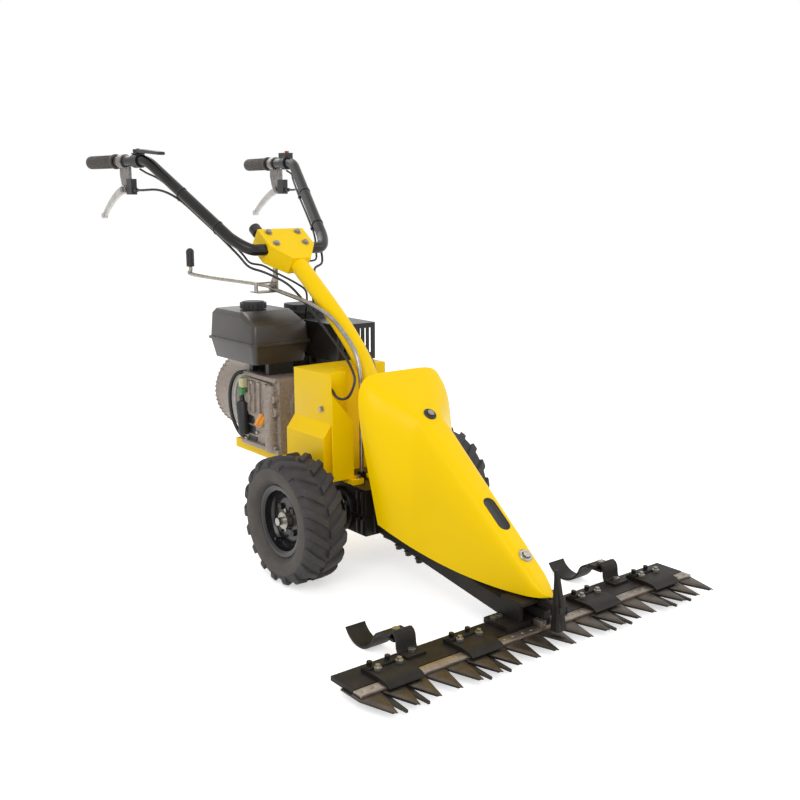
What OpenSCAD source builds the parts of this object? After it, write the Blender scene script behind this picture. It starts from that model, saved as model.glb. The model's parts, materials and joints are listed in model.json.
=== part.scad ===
// Walk-behind sickle bar mower: knife bar at the front, engine behind the axle, wide handlebar.
// Front is -Y, the operator stands at +Y and has the right hand at -X. The ground is z = 0.

/* [Wheels] */
// Tyre radius over the lugs
tyre_r = 165; // [155:1:175]
// Tyre width
tyre_w = 118; // [108:1:124]
// Distance between the tyre centres
track = 480; // [476:1:520]
// Rim flange radius
rim_r = 93; // [88:1:98]
// Lug height
lug_h = 9; // [6:0.5:11]
// Lug thickness
lug_t = 15; // [10:1:18]
// Lugs on each side of a tyre
lug_count = 18; // [12:1:22]
// Half shaft radius
axle_r = 12.5; // [10:0.5:15]
// Wheel hub radius
hub_r = 22; // [19:1:25]

/* [Transmission] */
// Width of the gear case
case_w = 196; // [186:2:204]
// Reach of the gear case ahead of the axle
case_front = 115; // [105:1:125]
// Reach of the gear case behind the axle
case_rear = 70; // [62:1:74]
// Height of the case top above the axle
case_up = 73; // [68:1:80]
// Depth of the case below the axle
case_down = 50; // [46:1:62]
// Case wall
case_wall = 10; // [7:1:13]
// Input and knife shaft radius
shaft_r = 10; // [8:0.5:11]
// Input pulley radius
input_r = 48; // [42:1:50]
// Engine pulley radius
engine_pulley_r = 40; // [32:1:46]

/* [Cutter bar] */
// Length of the back bar
bar_len = 1030; // [1015:5:1100]
// Reach of the end teeth past the bar
tooth_over = 4.65; // [2:0.05:8]
// Number of teeth
tooth_count = 19; // [17:2:19]
// Rear edge of the bar ahead of the axle
bar_y = 559; // [540:1:600]
// Depth of the bar
bar_depth = 77; // [74:1:90]
// Thickness of the bar
bar_t = 10; // [8:1:12]
// Height of the bar's underside above the ground
bar_z = 24; // [22:1:30]
// Length of a knife section
section_len = 110; // [95:1:125]
// Thickness of a knife section
section_t = 3; // [2:0.5:4]
// Depth of the knife back
knife_back_w = 26.5; // [22:0.5:30]
// Thickness of the knife back
knife_back_t = 6; // [5:0.5:6]
// Half stroke of the knife
knife_stroke = 25; // [20:1:27]
// Distance of the skids from the middle
skid_x = 325; // [310:1:335]
// Width of a skid strap
skid_w = 52; // [40:1:56]

/* [Front cover] */
// Height of the cover's top above the axle
cover_rise = 375; // [350:1:400]
// Half width of the cover at its top
cover_half = 154; // [140:1:162]
// Half width of the cover's rear lower corner
cover_low_half = 106; // [100:1:115]
// Sheet thickness of the cover
cover_t = 2.5; // [2:0.5:4]

/* [Column and handlebar] */
// Column tube radius
column_r = 25; // [22:1:27]
// Column tube wall
column_wall = 3; // [2:0.5:5]
// Handlebar tube radius
tube_r = 16; // [13:0.5:17]
// Handlebar tube wall
tube_wall = 2.5; // [1.5:0.5:4]
// Half width over the grip ends
handle_half = 283; // [260:1:320]
// Grip radius
grip_r = 20; // [19.5:0.5:24]
// Grip length
grip_len = 157; // [120:1:170]

/* [Engine] */
// Crankshaft height above the axle
crank_up = 220; // [214:1:226]
// Crankshaft radius
crank_r = 12; // [10:0.5:13]
// Crankcase width
block_w = 200; // [190:2:206]
// Crankcase length
block_len = 195; // [185:1:200]
// Radius of the blower drum
blower_r = 118; // [106:1:120]
// Fuel tank length
tank_len = 254; // [226:1:262]
// Fuel tank width
tank_w = 188; // [170:1:192]
// Fuel tank height
tank_h = 140; // [120:1:160]
// Fuel cap radius
cap_r = 38; // [30:1:44]

/* [Hidden] */
$fn = 64;
fit = 0.05;
gap = 0.3;
fine = 28;

// Colours
yellow = "#f6cf10";
black = "#1d1d1e";
dark_steel = "#3a3835";
bare_steel = "#8d8578";
zinc = "#b9b7ae";
cast_grey = "#6f6a63";
charcoal = "#262729";

// Ground frame and axle frame
axle_z = tyre_r;
block_top = 305;
knife_y = bar_y + bar_depth + 1.5;
front_y = -(knife_y + section_len);

// Steering column, in the axle frame: a cubic curve in the YZ plane
column_foot = [-44, case_up + 4];
column_low = [-44, case_up + 257];
column_mid = [-40, 360];
column_end = [324, 610];
head_tilt = atan2(column_end[1] - column_mid[1], column_end[0] - column_mid[0]);
head_front = 75;
head_drop = 2;
head_y = column_end[0] + head_front * cos(head_tilt) - head_drop * sin(head_tilt);
head_z = column_end[1] + head_front * sin(head_tilt) + head_drop * cos(head_tilt);

// Handlebar route from the middle of its clamp, for the side at +X
tube_straight = 98;
arm_low = [148, 32, 17.5];
arm_high = [handle_half - 32, 356, 248.5];
arm_end = [handle_half, 688, 246.5];
arm_dir = (arm_end - arm_high) / norm(arm_end - arm_high);
grip_wall = 4;
rear_y = head_y + arm_end[1] + grip_wall * arm_dir[1] + grip_r * sqrt(1 - arm_dir[1] * arm_dir[1]);
frame_y = -(front_y + rear_y) / 2;

function unit(v) = v / norm(v);
function bezier3(p, t) = pow(1 - t, 3) * p[0] + 3 * pow(1 - t, 2) * t * p[1]
  + 3 * (1 - t) * t * t * p[2] + pow(t, 3) * p[3];
function bezier2(a, b, c, t) = (1 - t) * (1 - t) * a + 2 * t * (1 - t) * b + t * t * c;
// A smooth curve through points chosen by hand
function through(p, i, t) =
  let (a = p[max(i - 1, 0)], b = p[i], c = p[i + 1], d = p[min(i + 2, len(p) - 1)])
  0.5 * (2 * b + (c - a) * t + (2 * a - 5 * b + 4 * c - d) * t * t
    + (3 * b - a - 3 * c + d) * t * t * t);
function smooth(p, steps) = concat(
  [for (i = [0 : len(p) - 2], k = [0 : steps - 1]) through(p, i, k / steps)], [p[len(p) - 1]]);
function tangents(p) = [for (i = [0 : len(p) - 1]) unit(p[min(i + 1, len(p) - 1)] - p[max(i - 1, 0)])];
function square_to(u, t) = unit(u - (u * t) * t);
function normals(t, start) = [
  for (i = 0, u = square_to(start, t[0]); i < len(t);
    i = i + 1, u = i < len(t) ? square_to(u, t[i]) : u) square_to(u, t[i])
];
function rings(p, r, sides, start) =
  let (t = tangents(p), n = normals(t, start))
  [for (i = [0 : len(p) - 1], k = [0 : sides - 1])
    let (a = 360 * k / sides) p[i] + r * (cos(a) * n[i] + sin(a) * cross(t[i], n[i]))];
function band(count, sides, first, turned) = [
  for (i = [0 : count - 2], k = [0 : sides - 1])
    let (a = first + i * sides + k, b = first + i * sides + (k + 1) % sides, c = b + sides, d = a + sides)
    each turned ? [[a, c, d], [a, b, c]] : [[a, d, c], [a, c, b]]
];

// A round bar, or a tube where bore is over 0, along a path
module sweep(path, r, sides, bore = 0, start = [0, -0.6, 0.8]) {
  count = len(path);
  inner = count * sides;
  last = (count - 1) * sides;
  caps = bore == 0
    ? [[for (k = [0 : sides - 1]) k], [for (k = [sides - 1 : -1 : 0]) last + k]]
    : [for (k = [0 : sides - 1])
        let (j = (k + 1) % sides)
        each [[k, j, inner + j], [k, inner + j, inner + k],
          [last + j, last + k, inner + last + k], [last + j, inner + last + k, inner + last + j]]];
  polyhedron(
    points = concat(rings(path, r, sides, start), bore == 0 ? [] : rings(path, bore, sides, start)),
    faces = concat(band(count, sides, 0, false), bore == 0 ? [] : band(count, sides, inner, true), caps),
    convexity = 8);
}

module in_ground_frame() translate([0, frame_y, 0]) children();
module in_axle_frame() translate([0, frame_y, axle_z]) children();
module in_head_frame() in_axle_frame() translate([0, head_y, head_z]) children();
module in_tilted_head() in_head_frame() rotate([head_tilt, 0, 0]) children();
// The right side is the mirror image of the left
module on_side(s) if (s > 0) children(); else mirror([1, 0, 0]) children();
module box(low, high) translate(low) cube(high - low);
module x_rod(r, x0, x1) translate([x0, 0, 0]) rotate([0, 90, 0]) cylinder(r = r, h = x1 - x0);
module y_rod(r, y0, y1) translate([0, y1, 0]) rotate([90, 0, 0]) cylinder(r = r, h = y1 - y0);
module z_rod(r, z0, z1) translate([0, 0, z0]) cylinder(r = r, h = z1 - z0);
// A profile drawn in Y and Z, extruded from x0 to x1
module across(x0, x1) translate([x0, 0, 0]) rotate([90, 0, 90]) linear_extrude(x1 - x0) children();
// A profile drawn in X and Z, extruded from y0 to y1
module lengthwise(y0, y1) translate([0, y1, 0]) rotate([90, 0, 0]) linear_extrude(y1 - y0) children();
module hex(r, z0, z1) translate([0, 0, z0]) cylinder(r = r, h = z1 - z0, $fn = 6);
// A box with rounded upright edges
module slab(low, high, r) hull()
  for (x = [low[0] + r, high[0] - r], y = [low[1] + r, high[1] - r])
    translate([x, y, low[2]]) cylinder(r = r, h = high[2] - low[2], $fn = fine);
// Turns +Z towards a direction
module aim(dir) rotate([0, acos(dir[2] / norm(dir)), atan2(dir[1], dir[0])]) children();

// Transmission

tube_end = track / 2 - tyre_w / 2 - 13;
axle_tube_r = 32;
input_up = 25;
knife_shaft_up = -15;
shift_x = -40;
shift_y = -20;
shift_r = 6;
boss_top = case_up + 22;

module gear_case() color(black) in_axle_frame() difference() {
  union() {
    difference() {
      union() {
        box([-case_w / 2, -case_front, -case_down], [case_w / 2, case_rear, case_up]);
        box([-case_w / 2 - 6, -case_front, -6], [case_w / 2 + 6, case_rear, 6]);
      }
      box([-case_w / 2 + case_wall, -case_front + case_wall, -case_down + case_wall],
        [case_w / 2 - case_wall, case_rear - case_wall, case_up - case_wall]);
    }
    for (s = [-1, 1])
      on_side(s) x_rod(axle_tube_r, case_w / 2 - 1, tube_end);
    translate([shift_x, shift_y, 0]) z_rod(12, case_up - 1, boss_top);
  }
  x_rod(axle_r + fit, -tube_end - 1, tube_end + 1);
  translate([0, 0, input_up]) y_rod(shaft_r + fit, 0, case_rear + 1);
  translate([0, 0, knife_shaft_up]) y_rod(shaft_r + fit, -case_front - 1, 0);
  translate([shift_x, shift_y, 0]) z_rod(shift_r + 0.1, case_up + 2, boss_top + 1);
}

pulley_y = 92;
pulley_w = 32;
belt_w = 12;
belt_t = 9;
belt_y = pulley_y + pulley_w / 2;

// A grooved pulley on a shaft along Y
module pulley(r, bore, wide) difference() {
  union() {
    y_rod(r, pulley_y + 6, pulley_y + wide - 6);
    y_rod(bore + 9, pulley_y, pulley_y + wide);
  }
  y_rod(bore + fit, pulley_y - 1, pulley_y + wide + 1);
  difference() {
    y_rod(r + 1, belt_y - belt_w / 2 - 0.5, belt_y + belt_w / 2 + 0.5);
    y_rod(r - belt_t, pulley_y, pulley_y + wide);
  }
}

// The input shaft and the pulley that is pressed on it
module input_shaft() color(cast_grey) in_axle_frame() translate([0, 0, input_up]) {
  pulley(input_r, shaft_r - 1, pulley_w);
  y_rod(shaft_r, case_rear - 45, pulley_y + pulley_w + 4);
}

module engine_pulley() color(cast_grey) in_axle_frame() translate([0, 0, crank_up])
  pulley(engine_pulley_r, crank_r, pulley_w);

// The outline of the belt at a height above the groove floors
module belt_loop(above) hull() {
  translate([0, input_up]) circle(r = input_r - belt_t + above);
  translate([0, crank_up]) circle(r = engine_pulley_r - belt_t + above);
}

module drive_belt() color(charcoal) in_axle_frame()
  lengthwise(belt_y - belt_w / 2, belt_y + belt_w / 2) difference() {
    belt_loop(gap + belt_t);
    belt_loop(gap);
  }

crank_disc_y = 240;
crank_pin_end = 262;

module knife_crank() color(bare_steel) in_axle_frame() translate([0, 0, knife_shaft_up]) {
  y_rod(shaft_r, -crank_disc_y + 12, -case_front + 25);
  y_rod(33, -crank_disc_y, -crank_disc_y + 12);
  translate([0, 0, crank_throw]) y_rod(7, -crank_pin_end, -crank_disc_y + 1);
}

neck_half = 44;
beam_t = 12;
drive_half = neck_half - 2;
drive_front = 258;

module drive_case() color(black) in_axle_frame() translate([0, 0, knife_shaft_up]) difference() {
  box([-drive_half, -drive_front, -48], [drive_half, -case_front, 47]);
  box([-drive_half + 5, -drive_front + 8, -42], [drive_half - 5, -case_front - 10, 41]);
  y_rod(shaft_r + fit, -drive_front, -case_front + 1);
  y_rod(34, -drive_front - 1, -drive_front + 9);
}

// Wheels

carcass_r = tyre_r - lug_h;
half_w = tyre_w / 2;
bead_x = half_w - 19;
bead_r = rim_r - 13;
barrel_r = bead_r - 0.2;
lug_len = (half_w - 10) / cos(38);
lug_top = sqrt(tyre_r * tyre_r - pow((lug_len * sin(38) + lug_t * cos(38)) / 2, 2));
tyre_side = [
  [bead_r, bead_x], [rim_r + 0.6, bead_x], [rim_r + 8, half_w - 6], [rim_r + 22, half_w - 1],
  [carcass_r - 26, half_w], [carcass_r - 14, half_w - 2], [carcass_r - 5, half_w - 7],
  [carcass_r, half_w - 15]
];
tyre_inside = [
  [bead_r, bead_x - 9], [rim_r + 2, bead_x - 8], [rim_r + 12, half_w - 14], [rim_r + 24, half_w - 9],
  [carcass_r - 18, half_w - 10], [carcass_r - 8, half_w - 18]
];

function both_sides(p) = concat(p, [for (i = [len(p) - 1 : -1 : 0]) [p[i][0], -p[i][1]]]);
function backwards(p) = [for (i = [len(p) - 1 : -1 : 0]) p[i]];

module wheel_place(s) in_axle_frame() on_side(s) translate([track / 2, 0, 0]) children();

module tyre(s) color(black) wheel_place(s) {
  rotate([0, 90, 0]) rotate_extrude()
    polygon(concat(both_sides(tyre_side), backwards(both_sides(tyre_inside))));
  for (i = [0 : lug_count - 1], side = [-1, 1])
    rotate([360 / lug_count * (i + side / 4), 0, 0]) translate([side * (half_w + 1) / 2, 0, 0])
      rotate([0, 0, side * 38])
        box([-lug_len / 2, -lug_t / 2, carcass_r - 5], [lug_len / 2, lug_t / 2, lug_top]);
}

rim_disc_x = 14;
hub_flange_r = 52;
wheel_bolt_r = 40;
hub_out = 34;
stub_r = axle_r - 2.5;
stub_len = 16;

module wheel_bolt_places() for (i = [0 : 3])
  rotate([45 + 90 * i, 0, 0]) translate([0, 0, wheel_bolt_r]) children();

module rim(s) color(black) wheel_place(s) difference() {
  rotate([0, 90, 0]) rotate_extrude() union() {
    for (m = [0, 1]) mirror([0, m]) polygon([
      [barrel_r - 4, -1], [barrel_r - 4, bead_x + 4], [rim_r, bead_x + 4], [rim_r, bead_x + gap],
      [barrel_r, bead_x + gap], [barrel_r, -1]]);
    polygon([
      [hub_r + 4, rim_disc_x], [hub_r + 4, rim_disc_x + 4], [56, rim_disc_x + 4], [63, rim_disc_x - 4],
      [barrel_r - 3, rim_disc_x - 4], [barrel_r - 3, rim_disc_x - 8], [61, rim_disc_x - 8],
      [54, rim_disc_x]]);
  }
  wheel_bolt_places() x_rod(5.3, rim_disc_x - 20, rim_disc_x + 10);
}

// A shaft whose stub end stands out of the hub
module half_shaft(s) color(zinc) in_axle_frame() on_side(s) difference() {
  union() {
    x_rod(axle_r, 30, track / 2 + hub_out);
    x_rod(stub_r, track / 2 + hub_out - 1, track / 2 + hub_out + stub_len);
  }
  translate([track / 2 + hub_out - 9, 0, 0]) z_rod(4.2, -axle_r - 1, axle_r + 1);
}

module wheel_hub(s) color(dark_steel) wheel_place(s) {
  difference() {
    union() {
      x_rod(hub_r, -half_w + 6, hub_out);
      x_rod(hub_flange_r, rim_disc_x - 7, rim_disc_x);
    }
    x_rod(axle_r + fit, -half_w, hub_out + 1);
  }
  wheel_bolt_places() {
    x_rod(5, rim_disc_x - 12, rim_disc_x + 5);
    translate([rim_disc_x + 4, 0, 0]) rotate([0, 90, 0]) hex(9, 0, 7);
    translate([rim_disc_x - 14, 0, 0]) rotate([0, 90, 0]) hex(9, 0, 7);
  }
  translate([hub_out - 9, 0, 0]) z_rod(4, -hub_r - 7, hub_r + 9);
}

// Chassis

cradle_half = 96;
arm_in = 62;
cradle_up = case_up + 14;
cradle_rear = 545;
plate_y = 165;

module engine_cradle() color(yellow) in_axle_frame() {
  box([-cradle_half, plate_y, cradle_up - 8], [cradle_half, cradle_rear, cradle_up]);
  for (s = [-1, 1]) on_side(s) {
    box([arm_in, -60, case_up], [cradle_half, plate_y + 1, cradle_up]);
    box([cradle_half - 6, plate_y, cradle_up - 28], [cradle_half, cradle_rear, cradle_up - 7]);
  }
}

guard_front = 75;
guard_rear = 160;
guard_right = -130;
guard_left = 112;
guard_top = 358;
guard_wall = 2;
wing_front = -14;
wing_in = -62;
wing_recess = 28;
bulge = 26;
bulge_low = 196;
bulge_high = 231;
chute_half = arm_in - 4;

// The guard's right side, in X and Z, closed at a line x_in
module guard_side(inset, x_in) polygon([
  [x_in, cradle_up + inset], [x_in, guard_top - inset], [guard_right + inset, guard_top - inset],
  [guard_right + inset, bulge_high], [guard_right - bulge + inset, bulge_low],
  [guard_right - bulge + inset, cradle_up + inset]]);

// The guard's outside at inset 0, and its inside at inset guard_wall
module guard_body(inset) {
  lengthwise(guard_front + inset, guard_rear - inset) guard_side(inset, guard_left - inset);
  box([-chute_half + inset, guard_front + inset, input_up - input_r - 22 + inset],
    [chute_half - inset, guard_rear - inset, cradle_up + 2 * inset + 1]);
  lengthwise(wing_front + wing_recess + inset, guard_front + 1 + 2 * inset)
    guard_side(inset, wing_in - inset);
}

module belt_guard() color(yellow) in_axle_frame() difference() {
  union() {
    difference() {
      guard_body(0);
      guard_body(guard_wall);
    }
    // Right-hand panel, which stands ahead of the recessed front
    lengthwise(wing_front, wing_front + wing_recess + 1) polygon([
      [guard_right, guard_top], [guard_right, bulge_high], [guard_right - bulge, bulge_low],
      [guard_right - bulge, cradle_up], [guard_right - bulge + guard_wall, cradle_up],
      [guard_right - bulge + guard_wall, bulge_low], [guard_right + guard_wall, bulge_high],
      [guard_right + guard_wall, guard_top]]);
    // Turned-in edge at the foot of that panel
    lengthwise(wing_front, wing_front + guard_wall) polygon([
      [guard_right + guard_wall, bulge_high + 24], [guard_right, bulge_high],
      [guard_right - bulge, bulge_low], [guard_right - bulge, cradle_up], [guard_right + 20, cradle_up],
      [guard_right + 20, bulge_low]]);
  }
  translate([0, 0, crank_up]) y_rod(crank_r + 8, guard_rear - 10, guard_rear + 1);
  translate([0, 0, input_up]) y_rod(shaft_r + 4, guard_front - 1, guard_front + 10);
}

front_plate_y = -42;
front_plate_t = 4;

module guard_front_plate() color(yellow) in_axle_frame() {
  lengthwise(front_plate_y, front_plate_y + front_plate_t) polygon([
    [-147, cradle_up], [-80, cradle_up], [-80, cradle_up + 149], [-147, cradle_up + 228]]);
  box([-cradle_half, front_plate_y, cradle_up], [-80, front_plate_y + 24, cradle_up + 5]);
}

column_steps = 22;
column_curve = [column_foot, column_low, column_mid, column_end];
column_route = [for (i = [0 : column_steps])
  let (p = bezier3(column_curve, i / column_steps)) [0, p[0], p[1]]];
foot_half = 27;

module steering_column() color(yellow) in_axle_frame() {
  sweep(column_route, column_r, 24, column_r - column_wall, [1, 0, 0]);
  box([-foot_half, column_foot[0] - 35, case_up], [foot_half, column_foot[0] + 38, case_up + 8]);
}

head_half = 75;
head_rear = 62;
head_top = 25;
head_low = -38;
knob_x = -58;
stud_r = 5;

module column_head() color(yellow) in_tilted_head() difference() {
  hull() {
    box([-head_half, -12, head_low], [head_half, head_rear, head_top]);
    box([-column_r - 5, -head_front + 0.3, -head_drop - column_r - 2],
      [column_r + 5, -head_front + 6, head_top]);
  }
  x_rod(tube_r + fit, -head_half - 1, head_half + 1);
  translate([knob_x, 0, 0]) y_rod(stud_r + fit, 0, head_rear + 1);
}

// Screw that presses on the handlebar tube, and its knob
module lock_knob() color(black) in_tilted_head() translate([knob_x, 0, 0]) {
  y_rod(stud_r, tube_r + 1, head_rear + 14);
  y_rod(17, head_rear + 12, head_rear + 40);
}

// Handlebar and its controls

arm_bend = 30;
arm_path = concat(
  [[tube_straight - 4, 0, 0], [tube_straight + 6, 0, 0]],
  [for (k = [0 : 6]) bezier2([tube_straight + 8, 0, 0], [132, 4, 2],
    arm_low + 30 * unit(arm_high - arm_low), k / 6)],
  [for (k = [0 : 8]) bezier2(arm_high + arm_bend * unit(arm_low - arm_high), arm_high,
    arm_high + arm_bend * arm_dir, k / 8)],
  [arm_end]);

module handlebar_tube() color(black) in_head_frame() {
  x_rod(tube_r, -tube_straight, tube_straight);
  for (s = [-1, 1]) on_side(s) sweep(arm_path, tube_r - 0.1, 20, tube_r - tube_wall);
}

// Puts its children on the straight end of the tube, with +Z along it, at a distance from the bend
module on_arm(s, along) in_head_frame() on_side(s) translate(arm_high + along * arm_dir) children();

arm_len = norm(arm_end - arm_high);

module grip(s) color(charcoal) on_arm(s, arm_len) aim(arm_dir) difference() {
  union() {
    z_rod(grip_r, -grip_len + 8, grip_wall);
    z_rod(grip_r + 2.5, -grip_len, -grip_len + 9);
  }
  z_rod(tube_r + 0.2, -grip_len - 1, 0.2);
}

bracket_along = 134;
pivot = [478, 164.5];
pivot_r = 4;
plate_x = arm_high[0] + bracket_along * arm_dir[0];
plate_t = 8;
lever_t = 9;

module clamp_ring(long) aim(arm_dir) difference() {
  z_rod(tube_r + 5, -long / 2, long / 2);
  z_rod(tube_r + 0.2, -long, long);
}

module lever_bracket(s) {
  color(cast_grey) on_arm(s, bracket_along) clamp_ring(26);
  color(cast_grey) in_head_frame() on_side(s) {
    difference() {
      across(plate_x - plate_t / 2, plate_x + plate_t / 2) polygon([
        [464, 231], [512, 231], [513, 208], [503, 176], [490, 156], [466, 150], [458, 164], [460, 200]]);
      translate([0, pivot[0], pivot[1]]) x_rod(pivot_r, plate_x - 10, plate_x + 10);
    }
    translate([0, pivot[0], pivot[1]]) {
      x_rod(pivot_r, plate_x - plate_t / 2 - 3, plate_x + plate_t / 2 + lever_t + 2);
      x_rod(8, plate_x + plate_t / 2 + lever_t + gap + 0.2, plate_x + plate_t / 2 + lever_t + 5);
      x_rod(8, plate_x - plate_t / 2 - 5, plate_x - plate_t / 2 + 0.5);
    }
    // Latch block that the cable ends in
    box([plate_x - 9, 424, 150], [plate_x + 9, 458, 196]);
    box([plate_x - 4, 446, 190], [plate_x + 4, 461, 231]);
    translate([plate_x, 0, 163]) y_rod(6, 404, 425);
  }
}

lever_tip = [633, 84.5];
lever_knee = [548, 152];
lever_steps = 10;

function lever_point(t) = bezier2(pivot, lever_knee, lever_tip, t);
function lever_side(side) = [for (k = [0 : lever_steps])
  let (t = k / lever_steps, d = unit(lever_point(min(t + 0.02, 1)) - lever_point(t - 0.02)))
  lever_point(t) + side * (12 - 4.5 * t) * [-d[1], d[0]]];

module clutch_lever(s) color(zinc) in_head_frame() on_side(s) {
  x0 = plate_x + plate_t / 2 + gap;
  difference() {
    union() {
      across(x0, x0 + lever_t - gap) polygon(concat(lever_side(1), backwards(lever_side(-1))));
      translate([0, pivot[0], pivot[1]]) x_rod(14, x0, x0 + lever_t - gap);
      translate([0, lever_tip[0], lever_tip[1]]) x_rod(8.5, x0 - 3, x0 + lever_t + 3);
    }
    translate([0, pivot[0], pivot[1]]) x_rod(pivot_r + fit, x0 - 1, x0 + lever_t + 1);
  }
}

throttle_along = 48;
throttle_pin_r = 5;
deck = tube_r + 6;

module throttle_base() color(charcoal) {
  on_arm(-1, throttle_along) clamp_ring(34);
  on_arm(-1, throttle_along) difference() {
    box([-14, -17, tube_r + 3], [14, 17, deck]);
    aim(arm_dir) z_rod(tube_r + 0.2, -40, 40);
  }
  on_arm(-1, throttle_along) z_rod(throttle_pin_r, deck - 1, deck + 13);
}

module throttle_lever() color(charcoal) on_arm(-1, throttle_along) difference() {
  union() {
    z_rod(15, deck + gap, deck + 11);
    across(-11, 11) polygon([[0, deck + gap], [-20, deck + gap], [-153, deck - 9], [-157, deck - 5],
      [-153, deck], [-22, deck + 11], [0, deck + 11]]);
  }
  z_rod(throttle_pin_r + fit, deck, deck + 20);
}

switch_along = 46;
button_r = 7;

module stop_switch() color(charcoal) {
  on_arm(1, switch_along) clamp_ring(30);
  on_arm(1, switch_along) difference() {
    box([-14, -18, tube_r - 2], [14, 24, tube_r + 16]);
    aim(arm_dir) z_rod(tube_r + 0.2, -40, 40);
    translate([0, -4, 0]) z_rod(button_r + fit, tube_r + 5, tube_r + 30);
  }
}

module stop_button() color("#c02418") on_arm(1, switch_along) translate([0, -4, 0])
  z_rod(button_r, tube_r + 9, tube_r + 22);

// Routes of the control cables from the left-hand controls, in the head frame
cable_r = 3.5;
wire_r = 3;
// A point beside the sloping part of the tube: u along it, in towards the middle, and below
function by_arm(u, inward, below) = let (d = unit(arm_high - arm_low))
  arm_low + u * (arm_high - arm_low) + [-inward, below * d[2], -below * d[1]];
clutch_cable = [
  [plate_x, 403.6, 163], [plate_x - 1, 372, 163], by_arm(0.78, -8, 44), by_arm(0.6, -2, 24),
  by_arm(0.35, 0, 22), by_arm(0.12, 0, 22), [140, 36, -14], [122, 8, -46], [106, -10, -62], [92, -10, -62]
];
hand_wire = [
  [254, 398, 223.8], [250, 362, 212], by_arm(0.85, 6, 26), by_arm(0.6, 12, 20), by_arm(0.35, 12, 18),
  by_arm(0.12, 14, 18), [124, 40, -12], [110, 22, -36], [96, 14, -45], [82, 14, -45]
];

module cable(points, r) sweep(smooth(points, 2), r, 8);

module handle_cables() color(black) in_head_frame() {
  for (s = [-1, 1]) on_side(s) {
    cable(clutch_cable, cable_r);
    cable(hand_wire, wire_r);
  }
}

// Front of the air cleaner, beside the carburettor that the throttle wire works
air_front = 381;

// Where a cable of one side goes on, on the frame: it crosses along the hinge, so the ends never meet
split = 2;
function cable_goes_on(p, s, d) = let (n = len(p), q = p[n - 1] + d * unit(p[n - 1] - p[n - 2]))
  [s * q[0], head_y + q[1], head_z + q[2]];
function crossing(p, s) = [cable_goes_on(p, s, split), cable_goes_on(p, s, split + 12)];

// Continuation on the frame, in the axle frame
right_frame_cable = concat(crossing(clutch_cable, -1), [
  [-64, 358, 580], [-50, 330, 568], [-34, 290, 540], [-30, 220, 492], [-30, 130, 432], [-33, 60, 388],
  [-46, 6, 354], [-70, -32, 334], [-96, -46, 308], [-114, -42, 300], [-122, -26, 304], [-118, -6, 314],
  [-112, wing_front + wing_recess - 1.4, 318]
]);
throttle_frame_cable = concat(crossing(hand_wire, -1), [
  [-58, 382, 600], [-50, 368, 590], [-6, 332, 560], [16, 318, 538], [26, 330, 498], [38, 354, 466],
  [50, 372, 447], [54, air_front + 3.4, 441]
]);
left_frame_cable = concat(crossing(clutch_cable, 1), [
  [64, 352, 578], [54, 308, 552], [41, 240, 524], [37, 140, 456], [37, 50, 392], [38, 8, 320],
  [42, -10, 220], [44, -14, 140], [44, -14, case_up + 0.3]
]);
stop_frame_wire = concat(crossing(hand_wire, 1), [
  [60, 388, 592], [63, 372, 560], [74, 366, 490], [70, 367, 420], [62, 368, 350],
  [60, 368, block_top + 0.3]
]);

module frame_cables() color(black) in_axle_frame() {
  cable(right_frame_cable, cable_r);
  cable(throttle_frame_cable, wire_r);
  cable(left_frame_cable, cable_r);
  cable(stop_frame_wire, wire_r);
}

// Gear shift

shift_route = smooth([
  [shift_x, shift_y, boss_top + 6], [shift_x, shift_y, boss_top + 48], [shift_x, shift_y, 250],
  [shift_x + 1, shift_y + 1, 310], [shift_x + 3, -10, 360], [-34.5, 14, 408], [-33.5, 66, 452],
  [-34.5, 132, 490], [-39, 224, 517], [-48, 328, 535], [-57, 385, 546], [-63, 430, 553], [-118, 726, 564],
  [-120, 748, 580], [-120, 750, 622]
], 4);
knob_low = [-120, 750, 588];
shift_knob_r = 12;

module shift_rod() color(zinc) in_axle_frame() {
  translate([shift_x, shift_y, 0]) z_rod(shift_r, case_up + 3, boss_top + 24);
  sweep(shift_route, shift_r - 0.2, 12);
}

module shift_knob() color(black) in_axle_frame() translate(knob_low) difference() {
  union() {
    z_rod(shift_knob_r, 0, 44);
    translate([0, 0, 44]) sphere(r = shift_knob_r);
  }
  z_rod(shift_r + 0.2, -1, 36);
}

gate_y = 377;
gate_w = 16;
gate_floor = 546 - shift_r - 2;
gate_mid = -75;
gate_half = 29;
gate_t = 4;
strap_top = [for (y = [gate_y, gate_y + gate_w])
  head_z + (head_low - (y - head_y) * -sin(head_tilt)) / cos(head_tilt)];

module gate_bracket() color(zinc) in_axle_frame() {
  difference() {
    box([gate_mid - gate_half - gate_t, gate_y, gate_floor - gate_t],
      [gate_mid + gate_half + gate_t, gate_y + gate_w, gate_floor + 26]);
    box([gate_mid - gate_half, gate_y - 1, gate_floor],
      [gate_mid + gate_half, gate_y + gate_w + 1, gate_floor + 22]);
  }
  across(gate_mid + gate_half, gate_mid + gate_half + 2 * gate_t) polygon([
    [gate_y, gate_floor], [gate_y + gate_w, gate_floor], [gate_y + gate_w, strap_top[1]],
    [gate_y, strap_top[0]]]);
}

// Engine, in the axle frame

block_x = -105;
block_y = 275;
block_wall = 6;
block_end = block_y + block_len;
rib_top = 345;
dip_y = 350;
dip_z = 162;
dip_dir = [-0.82, 0, 0.57];
dip_r = 15;

module dip_place() translate([block_x, dip_y, dip_z]) aim(dip_dir) children();

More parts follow.
